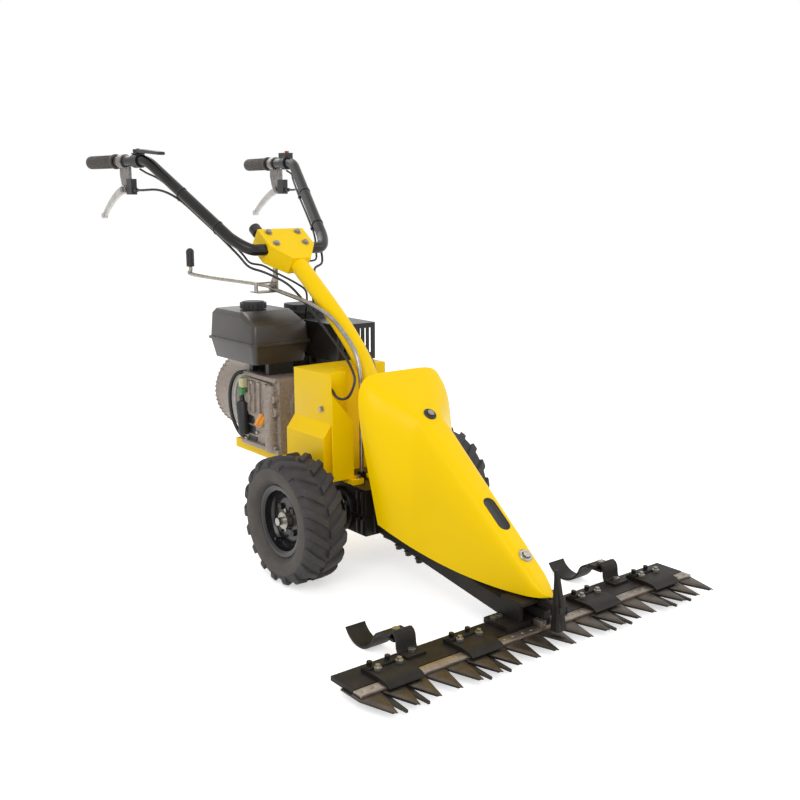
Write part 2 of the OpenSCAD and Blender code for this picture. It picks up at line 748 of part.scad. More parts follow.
module engine_block() color(cast_grey) in_axle_frame() difference() {
  union() {
    box([block_x, block_y, cradle_up], [block_x + block_w, block_end, block_top]);
    translate([0, 0, crank_up]) y_rod(72, block_y - 12, block_y + 1);
    for (y = [336, 426])
      box([block_x + 4, y, block_top - 1], [-20, y + 18, rib_top]);
    for (z = [cradle_up + 30 : 30 : block_top - 20])
      box([block_x - 4, block_y + 14, z], [block_x + 1, block_end - 14, z + 5]);
    dip_place() z_rod(dip_r, -14, 20);
  }
  box([block_x + block_wall, block_y + block_wall, cradle_up + block_wall],
    [block_x + block_w - block_wall, block_end - block_wall, block_top - block_wall]);
  translate([0, 0, crank_up]) y_rod(crank_r + fit, block_y - 20, block_end + 1);
  dip_place() z_rod(9, 4, 30);
}

module oil_dipstick() color("#e8641a") in_axle_frame() dip_place() {
  z_rod(9 - fit, 6, 21);
  difference() {
    z_rod(18, 20, 34);
    for (s = [-1, 1])
      translate([0, s * 16, 0]) box([-20, -10, 27], [20, 10, 40]);
  }
}

cyl_x = block_x + block_w;
fin_step = 13;
fin_count = 7;
pipe = [142, 336];

module cylinder_head() color(cast_grey) in_axle_frame() difference() {
  union() {
    box([cyl_x, 325, 226], [cyl_x + 96, 425, 334]);
    for (i = [0 : fin_count - 1])
      box([cyl_x + 6 + i * fin_step, 310, 212], [cyl_x + 9.5 + i * fin_step, 440, 348]);
    box([cyl_x + 95, 322, 222], [cyl_x + 124, 428, 338]);
    translate([pipe[0], pipe[1], 0]) z_rod(17, 320, muffler_low - 0.3);
  }
  translate([0, 375, 280]) x_rod(36, cyl_x - 1, cyl_x + 88);
  box([cyl_x + 100, 328, 230], [cyl_x + 120, 422, 330]);
}

muffler_low = 352;
muffler_top = 455;
muffler_front = 165;
muffler_in = 20;
muffler_out = 150;

module muffler() color(black) in_axle_frame() difference() {
  slab([muffler_in, muffler_front, muffler_low], [muffler_out, 352, muffler_top], 9);
  box([muffler_in + 3, muffler_front + 3, muffler_low + 3], [muffler_out - 3, 349, muffler_top - 3]);
  for (x = [muffler_in + 18 : 17 : muffler_out - 20])
    box([x, muffler_front - 1, muffler_low + 14], [x + 8, muffler_front + 5, muffler_top - 14]);
  for (y = [muffler_front + 24 : 22 : 330])
    box([muffler_out - 5, y, muffler_low + 14], [muffler_out + 1, y + 10, muffler_top - 14]);
}

air_in = 21;
air_out = 144;
air_rear = 478;
air_low = 368;
air_lid = 464;

module air_cleaner() color(black) in_axle_frame() {
  difference() {
    union() {
      slab([air_in + 4, air_front + 4, air_low], [air_out - 4, air_rear - 4, air_lid], 14);
      slab([air_in, air_front, air_lid], [air_out, air_rear, air_lid + 10], 16);
      slab([air_in + 7, air_front + 7, air_lid + 10], [air_out - 7, air_rear - 7, air_lid + 27], 20);
    }
    box([air_in + 13, air_front + 13, air_low + 8], [air_out - 13, air_rear - 13, air_lid + 4]);
  }
  translate([62, 436, 0]) z_rod(22, block_top, air_low + 1);
}

tank_x = -177;
tank_y = 288;
tank_wall = 4;
seam = rib_top + 53;
tank_top = rib_top + tank_h;
cap_x = tank_x + 0.46 * tank_w;
cap_y = tank_y + 0.56 * tank_len;
neck_r = 28;
neck_up = 3;

// A slice of the tank, drawn in from its full plan
module tank_slice(draw, z, r) slab([tank_x + draw, tank_y + draw, z],
  [tank_x + tank_w - draw, tank_y + tank_len - draw, z + 1], r);

// The flat part of the tank's top, behind its sloping front
tank_slope = 34;
module tank_deck(draw, z, r) slab([tank_x + draw, tank_y + draw + 0.25 * tank_len, z],
  [tank_x + tank_w - draw, tank_y + tank_len - draw, z + 1], r);

module fuel_tank() color(charcoal) in_axle_frame() difference() {
  union() {
    hull() {
      tank_slice(12, rib_top, 14);
      tank_slice(2, seam - 1, 14);
    }
    slab([tank_x - 4, tank_y - 4, seam], [tank_x + tank_w + 4, tank_y + tank_len + 4, seam + 7], 17);
    hull() {
      tank_slice(2, seam + 6, 14);
      tank_slice(6, tank_top - tank_slope, 14);
      tank_deck(6, tank_top - 14, 14);
      tank_deck(15, tank_top - 1, 14);
    }
    translate([cap_x, cap_y, 0]) z_rod(neck_r + 4, tank_top - 3, tank_top + neck_up);
  }
  hull() {
    tank_slice(12 + tank_wall, rib_top + tank_wall, 10);
    tank_slice(2 + tank_wall, seam, 10);
    tank_slice(6 + tank_wall, tank_top - tank_slope - 2, 10);
    tank_deck(6 + tank_wall, tank_top - 16, 10);
    tank_deck(15 + tank_wall, tank_top - tank_wall - 1, 10);
  }
  translate([cap_x, cap_y, 0]) z_rod(neck_r, tank_top - 10, tank_top + neck_up + 1);
}

cap_low = tank_top + neck_up + 0.2;

module fuel_cap() color(black) in_axle_frame() translate([cap_x, cap_y, cap_low]) {
  difference() {
    z_rod(cap_r, 0, 16);
    for (i = [0 : 17])
      rotate([0, 0, 20 * i]) translate([cap_r + 1, 0, -1]) cylinder(r = 2.6, h = 12);
  }
  z_rod(cap_r - 7, 15, 19);
  z_rod(neck_r - 0.3, -8, 1);
}

blower_end = 616;
recoil_end = 666;

module blower_housing() color(charcoal) in_axle_frame() translate([0, 0, crank_up]) difference() {
  union() {
    y_rod(blower_r, block_end, blower_end);
    box([-60, block_end, -crank_up + cradle_up + 2], [60, block_end + 60, -40]);
  }
  y_rod(blower_r - 3, block_end + 3, blower_end + 1);
  y_rod(62, block_end - 1, block_end + 4);
  box([-57, block_end + 3, -crank_up + cradle_up + 5], [57, block_end + 57, -40]);
}

recoil_handle_at = [52, 58];
rope_r = 4;

recoil_profile = [
  [0, recoil_end - 4], [0, recoil_end], [70, recoil_end], [86, recoil_end - 8],
  [blower_r - 14, blower_end + 14], [blower_r, blower_end + 6], [blower_r, blower_end],
  [blower_r - 4, blower_end], [blower_r - 4, blower_end + 4], [blower_r - 17, blower_end + 11],
  [83, recoil_end - 12], [69, recoil_end - 4]
];

module rope_place() translate([recoil_handle_at[0], 0, crank_up + recoil_handle_at[1]]) children();

module recoil_cover() color(cast_grey) in_axle_frame() difference() {
  union() {
    translate([0, 0, crank_up]) rotate([-90, 0, 0]) rotate_extrude() polygon(recoil_profile);
    rope_place() y_rod(9, recoil_end - 12, recoil_end + 6);
  }
  rope_place() y_rod(rope_r + fit, recoil_end - 20, recoil_end + 10);
  translate([0, 0, crank_up]) for (i = [0 : 15])
    rotate([0, 22.5 * i + 11, 0]) box([-3, recoil_end - 8, 26], [3, recoil_end + 1, 54]);
}

module recoil_handle() color(black) in_axle_frame() rope_place() {
  y_rod(rope_r, recoil_end - 60, recoil_end + 10);
  difference() {
    translate([0, recoil_end + 16, 0]) x_rod(9, -36, 36);
    for (s = [-1, 1])
      translate([s * 21, recoil_end + 28, 0]) z_rod(9, -20, 20);
  }
}

module engine_shaft() color(bare_steel) in_axle_frame() translate([0, 0, crank_up]) {
  y_rod(crank_r, pulley_y - 4, blower_end - 30);
  y_rod(96, block_end + 40, block_end + 52);
  for (i = [0 : 11])
    rotate([0, 30 * i, 0]) box([-2, block_end + 51, 55], [2, block_end + 76, 92]);
}

// Knife bar, in the ground frame

bar_top = bar_z + bar_t;
bar_front = bar_y + bar_depth;
plate_low = bar_z - 4;
knife_low = bar_z + gap;
strip_low = knife_low + section_t;
strip_top = strip_low + knife_back_t;
tooth_pitch = (bar_len + 2 * tooth_over) / tooth_count;
tooth_mid = (tooth_count - 1) / 2;
clip_places = [-7.5, -3.5, 3.5, 7.5];
// Clips and skids are spaced for this pitch, and close up or spread with the teeth
drawn_pitch = 54.7;
clip_half = 46 * tooth_pitch / drawn_pitch;
skid_at = skid_x * tooth_pitch / drawn_pitch;
clip_bolt_y = bar_y + 55;
carrier_bolt_y = bar_y + 19;
skid_bolt_y = bar_y + 23;
m_r = 5;
clip_top = bar_top + 10;
carrier_top = bar_top + 12;
carrier_half = 96;
carrier_bolts = [-86, -70, 70, 86];
finger_low = plate_low - 6;

module clip_bolt_places() for (c = clip_places, d = [-0.5, 0.5])
  translate([(c + d) * tooth_pitch, -clip_bolt_y, 0]) children();
module carrier_bolt_places() for (x = carrier_bolts) translate([x, -carrier_bolt_y, 0]) children();
module skid_bolt_places() for (s = [-1, 1]) translate([s * skid_at, -skid_bolt_y, 0]) children();

module cutter_bar() color(dark_steel) in_ground_frame() difference() {
  box([-bar_len / 2, -bar_front, bar_z], [bar_len / 2, -bar_y, bar_top]);
  for (z = [bar_z - 1]) {
    clip_bolt_places() z_rod(m_r + gap, z, bar_top + 1);
    carrier_bolt_places() z_rod(m_r + gap, z, bar_top + 1);
    skid_bolt_places() z_rod(m_r + gap, z, bar_top + 1);
  }
}

// A tooth outline pointing forward from y0, with a base of its own depth
module tooth(wide, y0, base, tip_y, tip_w) polygon([
  [-wide / 2, -y0], [-wide / 2, -y0 - base], [-tip_w / 2, -tip_y], [tip_w / 2, -tip_y],
  [wide / 2, -y0 - base], [wide / 2, -y0]]);

tip_y = knife_y + section_len;

// One plate under each tooth, and the guard fingers that are bolted below the clips
module finger_plates() color(dark_steel) in_ground_frame() difference() {
  union() {
    for (i = [-tooth_mid : tooth_mid])
      translate([i * tooth_pitch, 0, plate_low]) linear_extrude(bar_z - plate_low)
        tooth(tooth_pitch - 0.8, bar_y + 41, 64, tip_y - 9, 8);
    for (c = clip_places) {
      box([(c - 1) * tooth_pitch - 12, -knife_y - 26, finger_low],
        [c * tooth_pitch + clip_half, -bar_y - 45, plate_low]);
      for (d = [-1, 0])
        translate([(c + d) * tooth_pitch, 0, finger_low]) linear_extrude(plate_low - finger_low)
          tooth(18, bar_y + 60, 52, tip_y - 5, 5);
    }
  }
  clip_bolt_places() z_rod(m_r + gap, finger_low - 1, bar_z + 1);
}

head_half_w = 22;
peg_r = 9;
peg_y = knife_y + 13;
lug_in = peg_r + gap;
lug_top_z = strip_top + 18;

module knife() color(bare_steel) in_ground_frame() {
  for (i = [-tooth_mid : tooth_mid])
    translate([i * tooth_pitch, 0, knife_low]) linear_extrude(section_t)
      tooth(tooth_pitch - 0.8, knife_y, knife_back_w, tip_y, 3);
  half = (tooth_count * tooth_pitch) / 2 - 4;
  box([-half, -knife_y - knife_back_w, strip_low - 0.01], [half, -knife_y, strip_top]);
  box([-head_half_w, -knife_y - knife_back_w, strip_top - 1], [head_half_w, -knife_y, strip_top + 4]);
  for (s = [-1, 1]) on_side(s)
    box([lug_in, -knife_y - knife_back_w - 2, strip_top], [head_half_w, -knife_y, lug_top_z]);
}

module knife_clips() color(dark_steel) in_ground_frame() difference() {
  for (c = clip_places)
    translate([c * tooth_pitch, 0, 0]) across(-clip_half, clip_half) polygon([
      [-bar_y - 21, bar_top], [-bar_y - 21, clip_top - 2], [-bar_y - 24, clip_top],
      [-bar_front - 4, clip_top], [-knife_y - knife_back_w, clip_top - 3],
      [-knife_y - knife_back_w - 12, clip_top - 7], [-knife_y - knife_back_w - 12, bar_top]]);
  clip_bolt_places() z_rod(m_r + gap, bar_top - 1, clip_top + 1);
}

module bolt(low, head_low_z, long) {
  z_rod(m_r, low - 7, head_low_z + long);
  hex(9, head_low_z, head_low_z + 7);
  hex(9, low - 7, low);
}

flange_z = bar_top + 34;
strap_t = 6;
strap_bolt_y = bar_y - 29;

module bar_bolts() color(zinc) in_ground_frame() {
  clip_bolt_places() bolt(finger_low, clip_top, 13);
  carrier_bolt_places() bolt(bar_z, carrier_top, 7);
  skid_bolt_places() bolt(bar_z, bar_top + 6, 7);
  for (s = [-1, 1]) translate([s * skid_at, -strap_bolt_y, 0]) bolt(flange_z - 6 - strap_t, flange_z, 7);
}

// Skid strap: flat under the bracket, bent down, then a long curl that slides on the ground
bend_r = 28;
bend_a = 70;
strap_mid = flange_z - 6 - strap_t / 2;
bend_from = -strap_bolt_y + 20;
curl_r = (strap_mid - bend_r * (1 - cos(bend_a)) - strap_t / 2) / (1 - cos(bend_a));
curl_y = bend_from + (bend_r + curl_r) * sin(bend_a);
curl_end = 60;

function strap_edge(side) = concat(
  [[-bar_y + 5, strap_mid + side], [bend_from, strap_mid + side]],
  [for (a = [10 : 10 : bend_a]) [bend_from + (bend_r + side) * sin(a),
    strap_mid - bend_r + (bend_r + side) * cos(a)]],
  [for (a = [-bend_a + 10 : 10 : curl_end]) [curl_y + (curl_r - side) * sin(a),
    curl_r + strap_t / 2 - (curl_r - side) * cos(a)]]);

module skids() color(dark_steel) in_ground_frame() difference() {
  for (s = [-1, 1]) translate([s * skid_at, 0, 0]) {
    across(-skid_w / 2, skid_w / 2) polygon([
      [-bar_y - 41, bar_top], [-bar_y - 41, bar_top + 6], [-bar_y - 6, bar_top + 6],
      [-bar_y - 6, bar_top + 46], [-bar_y, bar_top + 46], [-bar_y, flange_z], [-bar_y + 47, flange_z],
      [-bar_y + 47, flange_z - 6],
      [-bar_y, flange_z - 6], [-bar_y, bar_top]]);
    across(-skid_w / 2, skid_w / 2)
      polygon(concat(strap_edge(strap_t / 2), backwards(strap_edge(-strap_t / 2))));
  }
  skid_bolt_places() z_rod(m_r + gap, bar_top - 1, bar_top + 7);
  for (s = [-1, 1]) translate([s * skid_at, -strap_bolt_y, 0])
    z_rod(m_r + gap, flange_z - 7 - strap_t, flange_z + 1);
}

// Neck, knife drive and cover

beam_low = carrier_top;
beam_high = carrier_top + 40;
beam_back = axle_z - case_down + 3;
beam_back_h = 30;
beam_flat = bar_y + 1;
beam_front = bar_y + 69;

function beam_low_at(y) = beam_back + (beam_low - beam_back) * (-y - case_front) / (beam_flat - case_front);

rocker_y = bar_y - 159;
rocker_pin_r = 10;
rocker_low = beam_low_at(-rocker_y) + 10;
rocker_hub_h = 26;
pivot_plate = 8;

// The two beams, and between them the plates and the pin that the rocker swings on
module neck_beams() color(dark_steel) in_ground_frame() {
  for (s = [-1, 1]) on_side(s)
    across(neck_half, neck_half + beam_t) polygon([
      [-case_front, beam_back], [-case_front, beam_back + beam_back_h], [-beam_flat, beam_high],
      [-beam_front, beam_high], [-beam_front, beam_low], [-beam_flat, beam_low]]);
  for (z = [rocker_low - pivot_plate, rocker_low + rocker_hub_h + 2 * gap])
    box([-neck_half - 1, -rocker_y - 24, z], [neck_half + 1, -rocker_y + 24, z + pivot_plate]);
  translate([0, -rocker_y, 0])
    z_rod(rocker_pin_r, rocker_low - pivot_plate + 1, rocker_low + rocker_hub_h + pivot_plate + 4);
}

arm_low_z = rocker_low + 5;
arm_top_z = rocker_low + 21;
nose_low_z = lug_top_z + 2;
nose_top_z = nose_low_z + 18;
fork_y = crank_pin_end + 2;
fork_t = 22;
// Throw that gives the knife its stroke through the rocker
crank_throw = knife_stroke * (rocker_y - fork_y - fork_t / 2) / (peg_y - rocker_y);
knife_shaft_z = axle_z + knife_shaft_up;

module rocker_arm() color(dark_steel) in_ground_frame() difference() {
  union() {
    translate([0, -rocker_y, 0]) z_rod(22, rocker_low + gap, rocker_low + gap + rocker_hub_h);
    box([-10, -rocker_y, arm_low_z], [10, -fork_y - 1, arm_top_z]);
    box([-19, -fork_y - fork_t, arm_low_z], [19, -fork_y, arm_top_z + 10]);
    for (s = [-1, 1]) on_side(s)
      box([9.5, -fork_y - fork_t, arm_top_z], [19, -fork_y, knife_shaft_z + crank_throw + 6]);
    across(-10, 10) polygon([
      [-rocker_y, arm_low_z], [-rocker_y, arm_top_z], [-peg_y + 60, nose_top_z], [-peg_y - 10, nose_top_z],
      [-peg_y - 10, nose_low_z], [-peg_y + 50, nose_low_z]]);
    translate([0, -peg_y, 0]) z_rod(peg_r, strip_top + 5, nose_low_z + 2);
  }
  translate([0, -rocker_y, 0]) z_rod(rocker_pin_r + fit, rocker_low - 1, rocker_low + rocker_hub_h + 2);
}

module bar_carrier() color(dark_steel) in_ground_frame() difference() {
  box([-carrier_half, -bar_y - 73, bar_top], [carrier_half, -bar_y + 3, carrier_top]);
  carrier_bolt_places() z_rod(m_r + gap, bar_top - 1, carrier_top + 1);
}

divider_y = knife_y + knife_back_w + 30;
divider_top = 172;
nose_bar_top = beam_high + 8;

module centre_divider() color(dark_steel) in_ground_frame() {
  box([-neck_half - beam_t, -bar_y - 81, beam_high], [neck_half + beam_t, -bar_y - 11, nose_bar_top]);
  box([-9, -divider_y - 12, beam_high - 6], [9, -bar_y - 80, nose_bar_top]);
  translate([0, -divider_y, 0]) z_rod(12, strip_top + 4, nose_bar_top);
  across(-5, 5) polygon([
    [-divider_y - 12, nose_bar_top - 1], [-divider_y + 10, nose_bar_top - 1],
    [-divider_y + 14, divider_top], [-divider_y + 7, divider_top]]);
}

cover_back_y = -132;
cover_back_low_y = -176;
cover_nose_y = -(bar_y + 114);
cover_nose_low_y = -(bar_y + 108);
cover_nose_z = bar_z + 86;
cover_back_z = axle_z + cover_rise;
cover_back_low_z = axle_z + 1;
cover_slope = atan2(cover_back_z - cover_nose_z, cover_back_y - cover_nose_y);
cover_stations = 26;
cover_points = 24;
nose_from = 0.9;
nose_half = 22;
ridge_half = 52;

function cover_s(i) = let (u = i / cover_stations) u < 0.75 ? u / 0.75 * nose_from
  : nose_from + (1 - nose_from) * sin((u - 0.75) / 0.25 * 90);
function nose_round(s) = s < nose_from ? 1 : sqrt(max(0.02, 1 - pow((s - nose_from) / (1 - nose_from), 2)));
function cover_power(s) = 4 + 2 * max(0, 1 - s / 0.25);
function cover_top_z(s) = cover_back_z + s * (cover_nose_z - cover_back_z);
function cover_low_z(s) = cover_back_low_z + s * (-175 + 113 * s) * (cover_back_low_z - bar_z - 80) / 62;
function cover_half_low(s) = (cover_low_half + s * (nose_half - cover_low_half)) * nose_round(s);
function ease(a, b, s) = let (u = min(1, max(0, (s - a) / (b - a)))) u * u * (3 - 2 * u);
// A flat ridge that widens into a hood at the rear
function cover_half_top(s) = (nose_half + ridge_half * pow(1 - s, 0.75)
  + (cover_half - nose_half - ridge_half) * (1 - ease(0.03, 0.24, s))) * nose_round(s);
// A point of the cover at station s, an angle across it from the right edge to the left, and an inset
function cover_point(s, a, inset) =
  let (e = 2 / cover_power(s), up = pow(abs(cos(a)), e), out = pow(abs(sin(a)), e) * sign(a),
    wide = max(4, cover_half_low(s) + (cover_half_top(s) - cover_half_low(s)) * up - inset),
    low = cover_low_z(s),
    high = low + (cover_top_z(s) - low) * (s < nose_from ? 1 : 0.35 + 0.65 * nose_round(s))
      - inset / cos(cover_slope),
    y0 = cover_back_low_y + s * (cover_nose_low_y - cover_back_low_y),
    y1 = cover_back_y + s * (cover_nose_y - cover_back_y))
  [wide * out, y0 + (y1 - y0) * up, low + (high - low) * up];
function cover_sheet(inset) = [
  for (i = [0 : cover_stations], j = [0 : cover_points])
    cover_point(cover_s(i), -90 + 180 * j / cover_points, inset)];

cover_cols = cover_points + 1;
cover_count = (cover_stations + 1) * cover_cols;
function cover_skin(first, turned) = [
  for (i = [0 : cover_stations - 1], j = [0 : cover_points - 1])
    let (a = first + i * cover_cols + j, b = a + 1, c = b + cover_cols, d = a + cover_cols)
    each turned ? [[a, c, b], [a, d, c]] : [[a, b, c], [a, c, d]]];
function edge_strip(a, b) = let (c = b + cover_count, d = a + cover_count) [[a, c, b], [a, d, c]];
cover_rim = concat(
  [for (j = [0 : cover_points - 1]) each edge_strip(j, j + 1)],
  [for (j = [0 : cover_points - 1]) let (k = cover_stations * cover_cols + j) each edge_strip(k + 1, k)],
  [for (i = [0 : cover_stations - 1]) each edge_strip((i + 1) * cover_cols, i * cover_cols)],
  [for (i = [0 : cover_stations - 1])
    let (k = i * cover_cols + cover_points) each edge_strip(k, k + cover_cols)]);
slot_from = -469;
slot_to = -516;
slot_r = 17;

function cover_z(y) = cover_back_z + (y - cover_back_y) * tan(cover_slope);

module front_cover() color(yellow) in_ground_frame() difference() {
  polyhedron(points = concat(cover_sheet(0), cover_sheet(cover_t)),
    faces = concat(cover_skin(0, false), cover_skin(cover_count, true), cover_rim), convexity = 6);
  hull() for (y = [slot_from, slot_to])
    translate([0, y, cover_z(y)]) rotate([cover_slope, 0, 0])
      cylinder(r = slot_r, h = 40, center = true, $fn = fine);
}

cover_bolts = [-250, cover_nose_y + 86];
cover_seat = cover_t / cos(cover_slope) + 0.9;
strip_half = 14;

function seat_z(y) = cover_z(y) - cover_seat;

module cover_brackets() color(dark_steel) in_ground_frame() {
  across(-strip_half, strip_half) polygon([
    [-case_front, axle_z + case_up - 34], [-case_front, axle_z + case_up - 4],
    [cover_bolts[0] + 16, seat_z(cover_bolts[0] + 16)], [cover_bolts[0] - 16, seat_z(cover_bolts[0] - 16)],
    [cover_bolts[0] - 16, seat_z(cover_bolts[0] - 16) - 6],
    [cover_bolts[0] - 2, seat_z(cover_bolts[0]) - 10]]);
  across(-strip_half, strip_half) polygon([
    [cover_bolts[1] - 9, nose_bar_top], [cover_bolts[1] + 9, nose_bar_top],
    [cover_bolts[1] + 9, seat_z(cover_bolts[1] + 9)], [cover_bolts[1] - 9, seat_z(cover_bolts[1] - 9)]]);
}

guard_bolts = [[guard_right, 29, 265], [guard_right - bulge, 40, 120]];

module capped_bolt(washer) {
  z_rod(washer, 0, 2);
  hex(0.68 * washer, 2, 8);
}

module frame_bolts() color(zinc) {
  in_ground_frame() for (y = cover_bolts)
    translate([0, y, cover_z(y)]) rotate([cover_slope, 0, 0]) capped_bolt(14);
  in_tilted_head() for (x = [-48, 48], y = [-6, 44]) translate([x, y, head_top]) capped_bolt(11);
  in_axle_frame() {
    for (p = guard_bolts)
      translate(p) rotate([0, -90, 0]) capped_bolt(9);
    for (s = [-1, 1], y = [-50, -14])
      translate([s * (arm_in + 10), y, cradle_up]) capped_bolt(7.5);
    for (x = [-20, 20])
      translate([x, column_foot[0] - 28, case_up + 8]) capped_bolt(6);
  }
}

gear_case();
input_shaft();
drive_belt();
knife_crank();
drive_case();
tyre(-1);  // tyre_right
tyre(1);  // tyre_left
rim(-1);  // rim_right
rim(1);  // rim_left
half_shaft(-1);  // half_shaft_right
half_shaft(1);  // half_shaft_left
wheel_hub(-1);  // wheel_hub_right
wheel_hub(1);  // wheel_hub_left
engine_cradle();
belt_guard();
guard_front_plate();
steering_column();
column_head();
frame_bolts();
lock_knob();
handlebar_tube();
grip(-1);  // grip_right
grip(1);  // grip_left
lever_bracket(-1);  // lever_bracket_right
lever_bracket(1);  // lever_bracket_left
clutch_lever(-1);  // clutch_lever_right
clutch_lever(1);  // clutch_lever_left
throttle_base();
throttle_lever();
stop_switch();
stop_button();
handle_cables();
frame_cables();
shift_rod();
shift_knob();
gate_bracket();
engine_block();
cylinder_head();
blower_housing();
recoil_cover();
recoil_handle();
fuel_tank();
fuel_cap();
oil_dipstick();
air_cleaner();
muffler();
engine_shaft();
engine_pulley();
neck_beams();
rocker_arm();
bar_carrier();
cutter_bar();
finger_plates();
knife();
knife_clips();
bar_bolts();
skids();
centre_divider();
front_cover();
cover_brackets();
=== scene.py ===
"""Looks of a walk-behind sickle bar mower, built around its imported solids."""

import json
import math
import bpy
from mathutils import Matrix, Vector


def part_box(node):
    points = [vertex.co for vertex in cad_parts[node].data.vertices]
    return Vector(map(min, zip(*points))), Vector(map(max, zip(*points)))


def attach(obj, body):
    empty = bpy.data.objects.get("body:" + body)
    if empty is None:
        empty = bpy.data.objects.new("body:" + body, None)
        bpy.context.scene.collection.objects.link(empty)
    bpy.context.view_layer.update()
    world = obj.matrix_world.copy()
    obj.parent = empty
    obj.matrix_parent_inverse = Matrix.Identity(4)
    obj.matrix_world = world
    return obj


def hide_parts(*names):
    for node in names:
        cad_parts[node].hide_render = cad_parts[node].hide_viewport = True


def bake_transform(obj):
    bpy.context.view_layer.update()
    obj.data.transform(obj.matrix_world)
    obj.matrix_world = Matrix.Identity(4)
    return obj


bl_info = {
    "name": "Sickle Bar Mower",
    "version": (1, 0, 0),
    "blender": (4, 5, 0),
    "location": "View3D > Sidebar > Mower",
    "description": "Builds a walk-behind sickle bar mower, piece by piece",
    "category": "Add Mesh",
}

import bmesh
import bpy
from bpy.props import FloatProperty, FloatVectorProperty, IntProperty, PointerProperty
from bpy.types import Operator, Panel, PropertyGroup
from mathutils import Matrix, Vector

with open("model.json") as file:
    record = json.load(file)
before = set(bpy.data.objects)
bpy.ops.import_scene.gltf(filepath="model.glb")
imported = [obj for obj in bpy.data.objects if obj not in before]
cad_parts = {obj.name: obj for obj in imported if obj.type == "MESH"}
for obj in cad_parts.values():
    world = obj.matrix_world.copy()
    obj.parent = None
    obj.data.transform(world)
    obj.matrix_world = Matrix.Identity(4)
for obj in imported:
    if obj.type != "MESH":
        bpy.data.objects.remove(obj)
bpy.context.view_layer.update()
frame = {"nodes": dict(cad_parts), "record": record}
RECORD = frame["record"]
MM = 0.001

BODY_OF = {node: body for body, nodes in RECORD["behaviour"]["bodies"].items() for node in nodes}
JOINTS = {joint["name"]: joint for joint in RECORD["behaviour"]["joints"]}
SIDES = {"right": -1, "left": 1}


# Places, from the frame

def middle(node):
    """Centre of a node's box."""
    low, high = (Vector(corner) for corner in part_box(node))
    return (low + high) / 2


def placer(origin):
    """A function that turns millimetres from an origin into metres in the frame."""
    return lambda x, y, z: origin + Vector((x, y, z)) * MM


AXLE = Vector((0, middle("rim_right").y, middle("rim_right").z))
at_origin = placer(Vector())
from_axle = placer(AXLE)
# The ground under the axle, and the middle of the handlebar's clamp
from_ground = placer(Vector((0, AXLE.y, 0)))
from_head = placer(Vector(JOINTS["handlebar_tilt"]["pos_m"]))


# Colour and materials

def linear(hex_colour):
    """An sRGB hex colour as linear RGBA."""
    parts = [int(hex_colour[i:i + 2], 16) / 255 for i in (1, 3, 5)]
    return tuple(c / 12.92 if c <= 0.04045 else ((c + 0.055) / 1.055) ** 2.4 for c in parts) + (1.0,)


def tones(colour, shade):
    """Linear RGBA of two hex colours, or of a colour setting and a darker share of it."""
    if isinstance(shade, str):
        return linear(colour), linear(shade)
    main = tuple(getattr(bpy.context.scene.mower, colour))
    return main, tuple(c * shade for c in main[:3]) + (1.0,)


def add(tree, kind, inputs=None, **settings):
    """Adds one node with its settings, and sets or links its inputs."""
    node = tree.nodes.new(kind)
    for key, value in settings.items():
        setattr(node, key, value)
    for socket, value in (inputs or {}).items():
        if isinstance(value, bpy.types.NodeSocket):
            tree.links.new(value, node.inputs[socket])
        else:
            node.inputs[socket].default_value = value
    return node


def bare_tree(owner):
    """The emptied node tree of a new material or world."""
    owner.use_nodes = True
    owner.node_tree.nodes.clear()
    return owner.node_tree


def finish(name, colour, shade, patch, grain, depth, rough, shader=None, stretch=(1, 1, 1)):
    """A surface whose colour drifts over patches and whose grain is a bump, sizes in millimetres."""
    made = bpy.data.materials.new(name)
    tree = bare_tree(made)
    main, dark = tones(colour, shade)
    place = add(tree, "ShaderNodeTexCoord").outputs["Object"]
    turned = add(tree, "ShaderNodeMapping", {"Vector": place, "Scale": stretch}).outputs[0]
    drift = add(tree, "ShaderNodeTexNoise", {"Vector": place, "Scale": 1 / (patch * MM), "Detail": 4.0})
    fine = add(tree, "ShaderNodeTexNoise", {"Vector": turned, "Scale": 1 / (grain * MM), "Detail": 3.0})
    blend = add(tree, "ShaderNodeMapRange", {
        "Value": drift.outputs["Fac"], "From Min": 0.35, "From Max": 0.7, "To Min": 0.0, "To Max": 1.0})
    tint = add(tree, "ShaderNodeMix", {0: blend.outputs[0], 6: main, 7: dark}, data_type="RGBA")
    gloss = add(tree, "ShaderNodeMapRange", {
        "Value": fine.outputs["Fac"], "From Min": 0.3, "From Max": 0.7,
        "To Min": rough[0], "To Max": rough[1]})
    bump = add(tree, "ShaderNodeBump", {
        "Height": fine.outputs["Fac"], "Strength": 0.6, "Distance": depth * MM})
    skin = add(tree, "ShaderNodeBsdfPrincipled", {
        "Base Color": tint.outputs[2], "Roughness": gloss.outputs[0], "Normal": bump.outputs[0],
        **(shader or {})})
    add(tree, "ShaderNodeOutputMaterial", {"Surface": skin.outputs[0]})
    return made


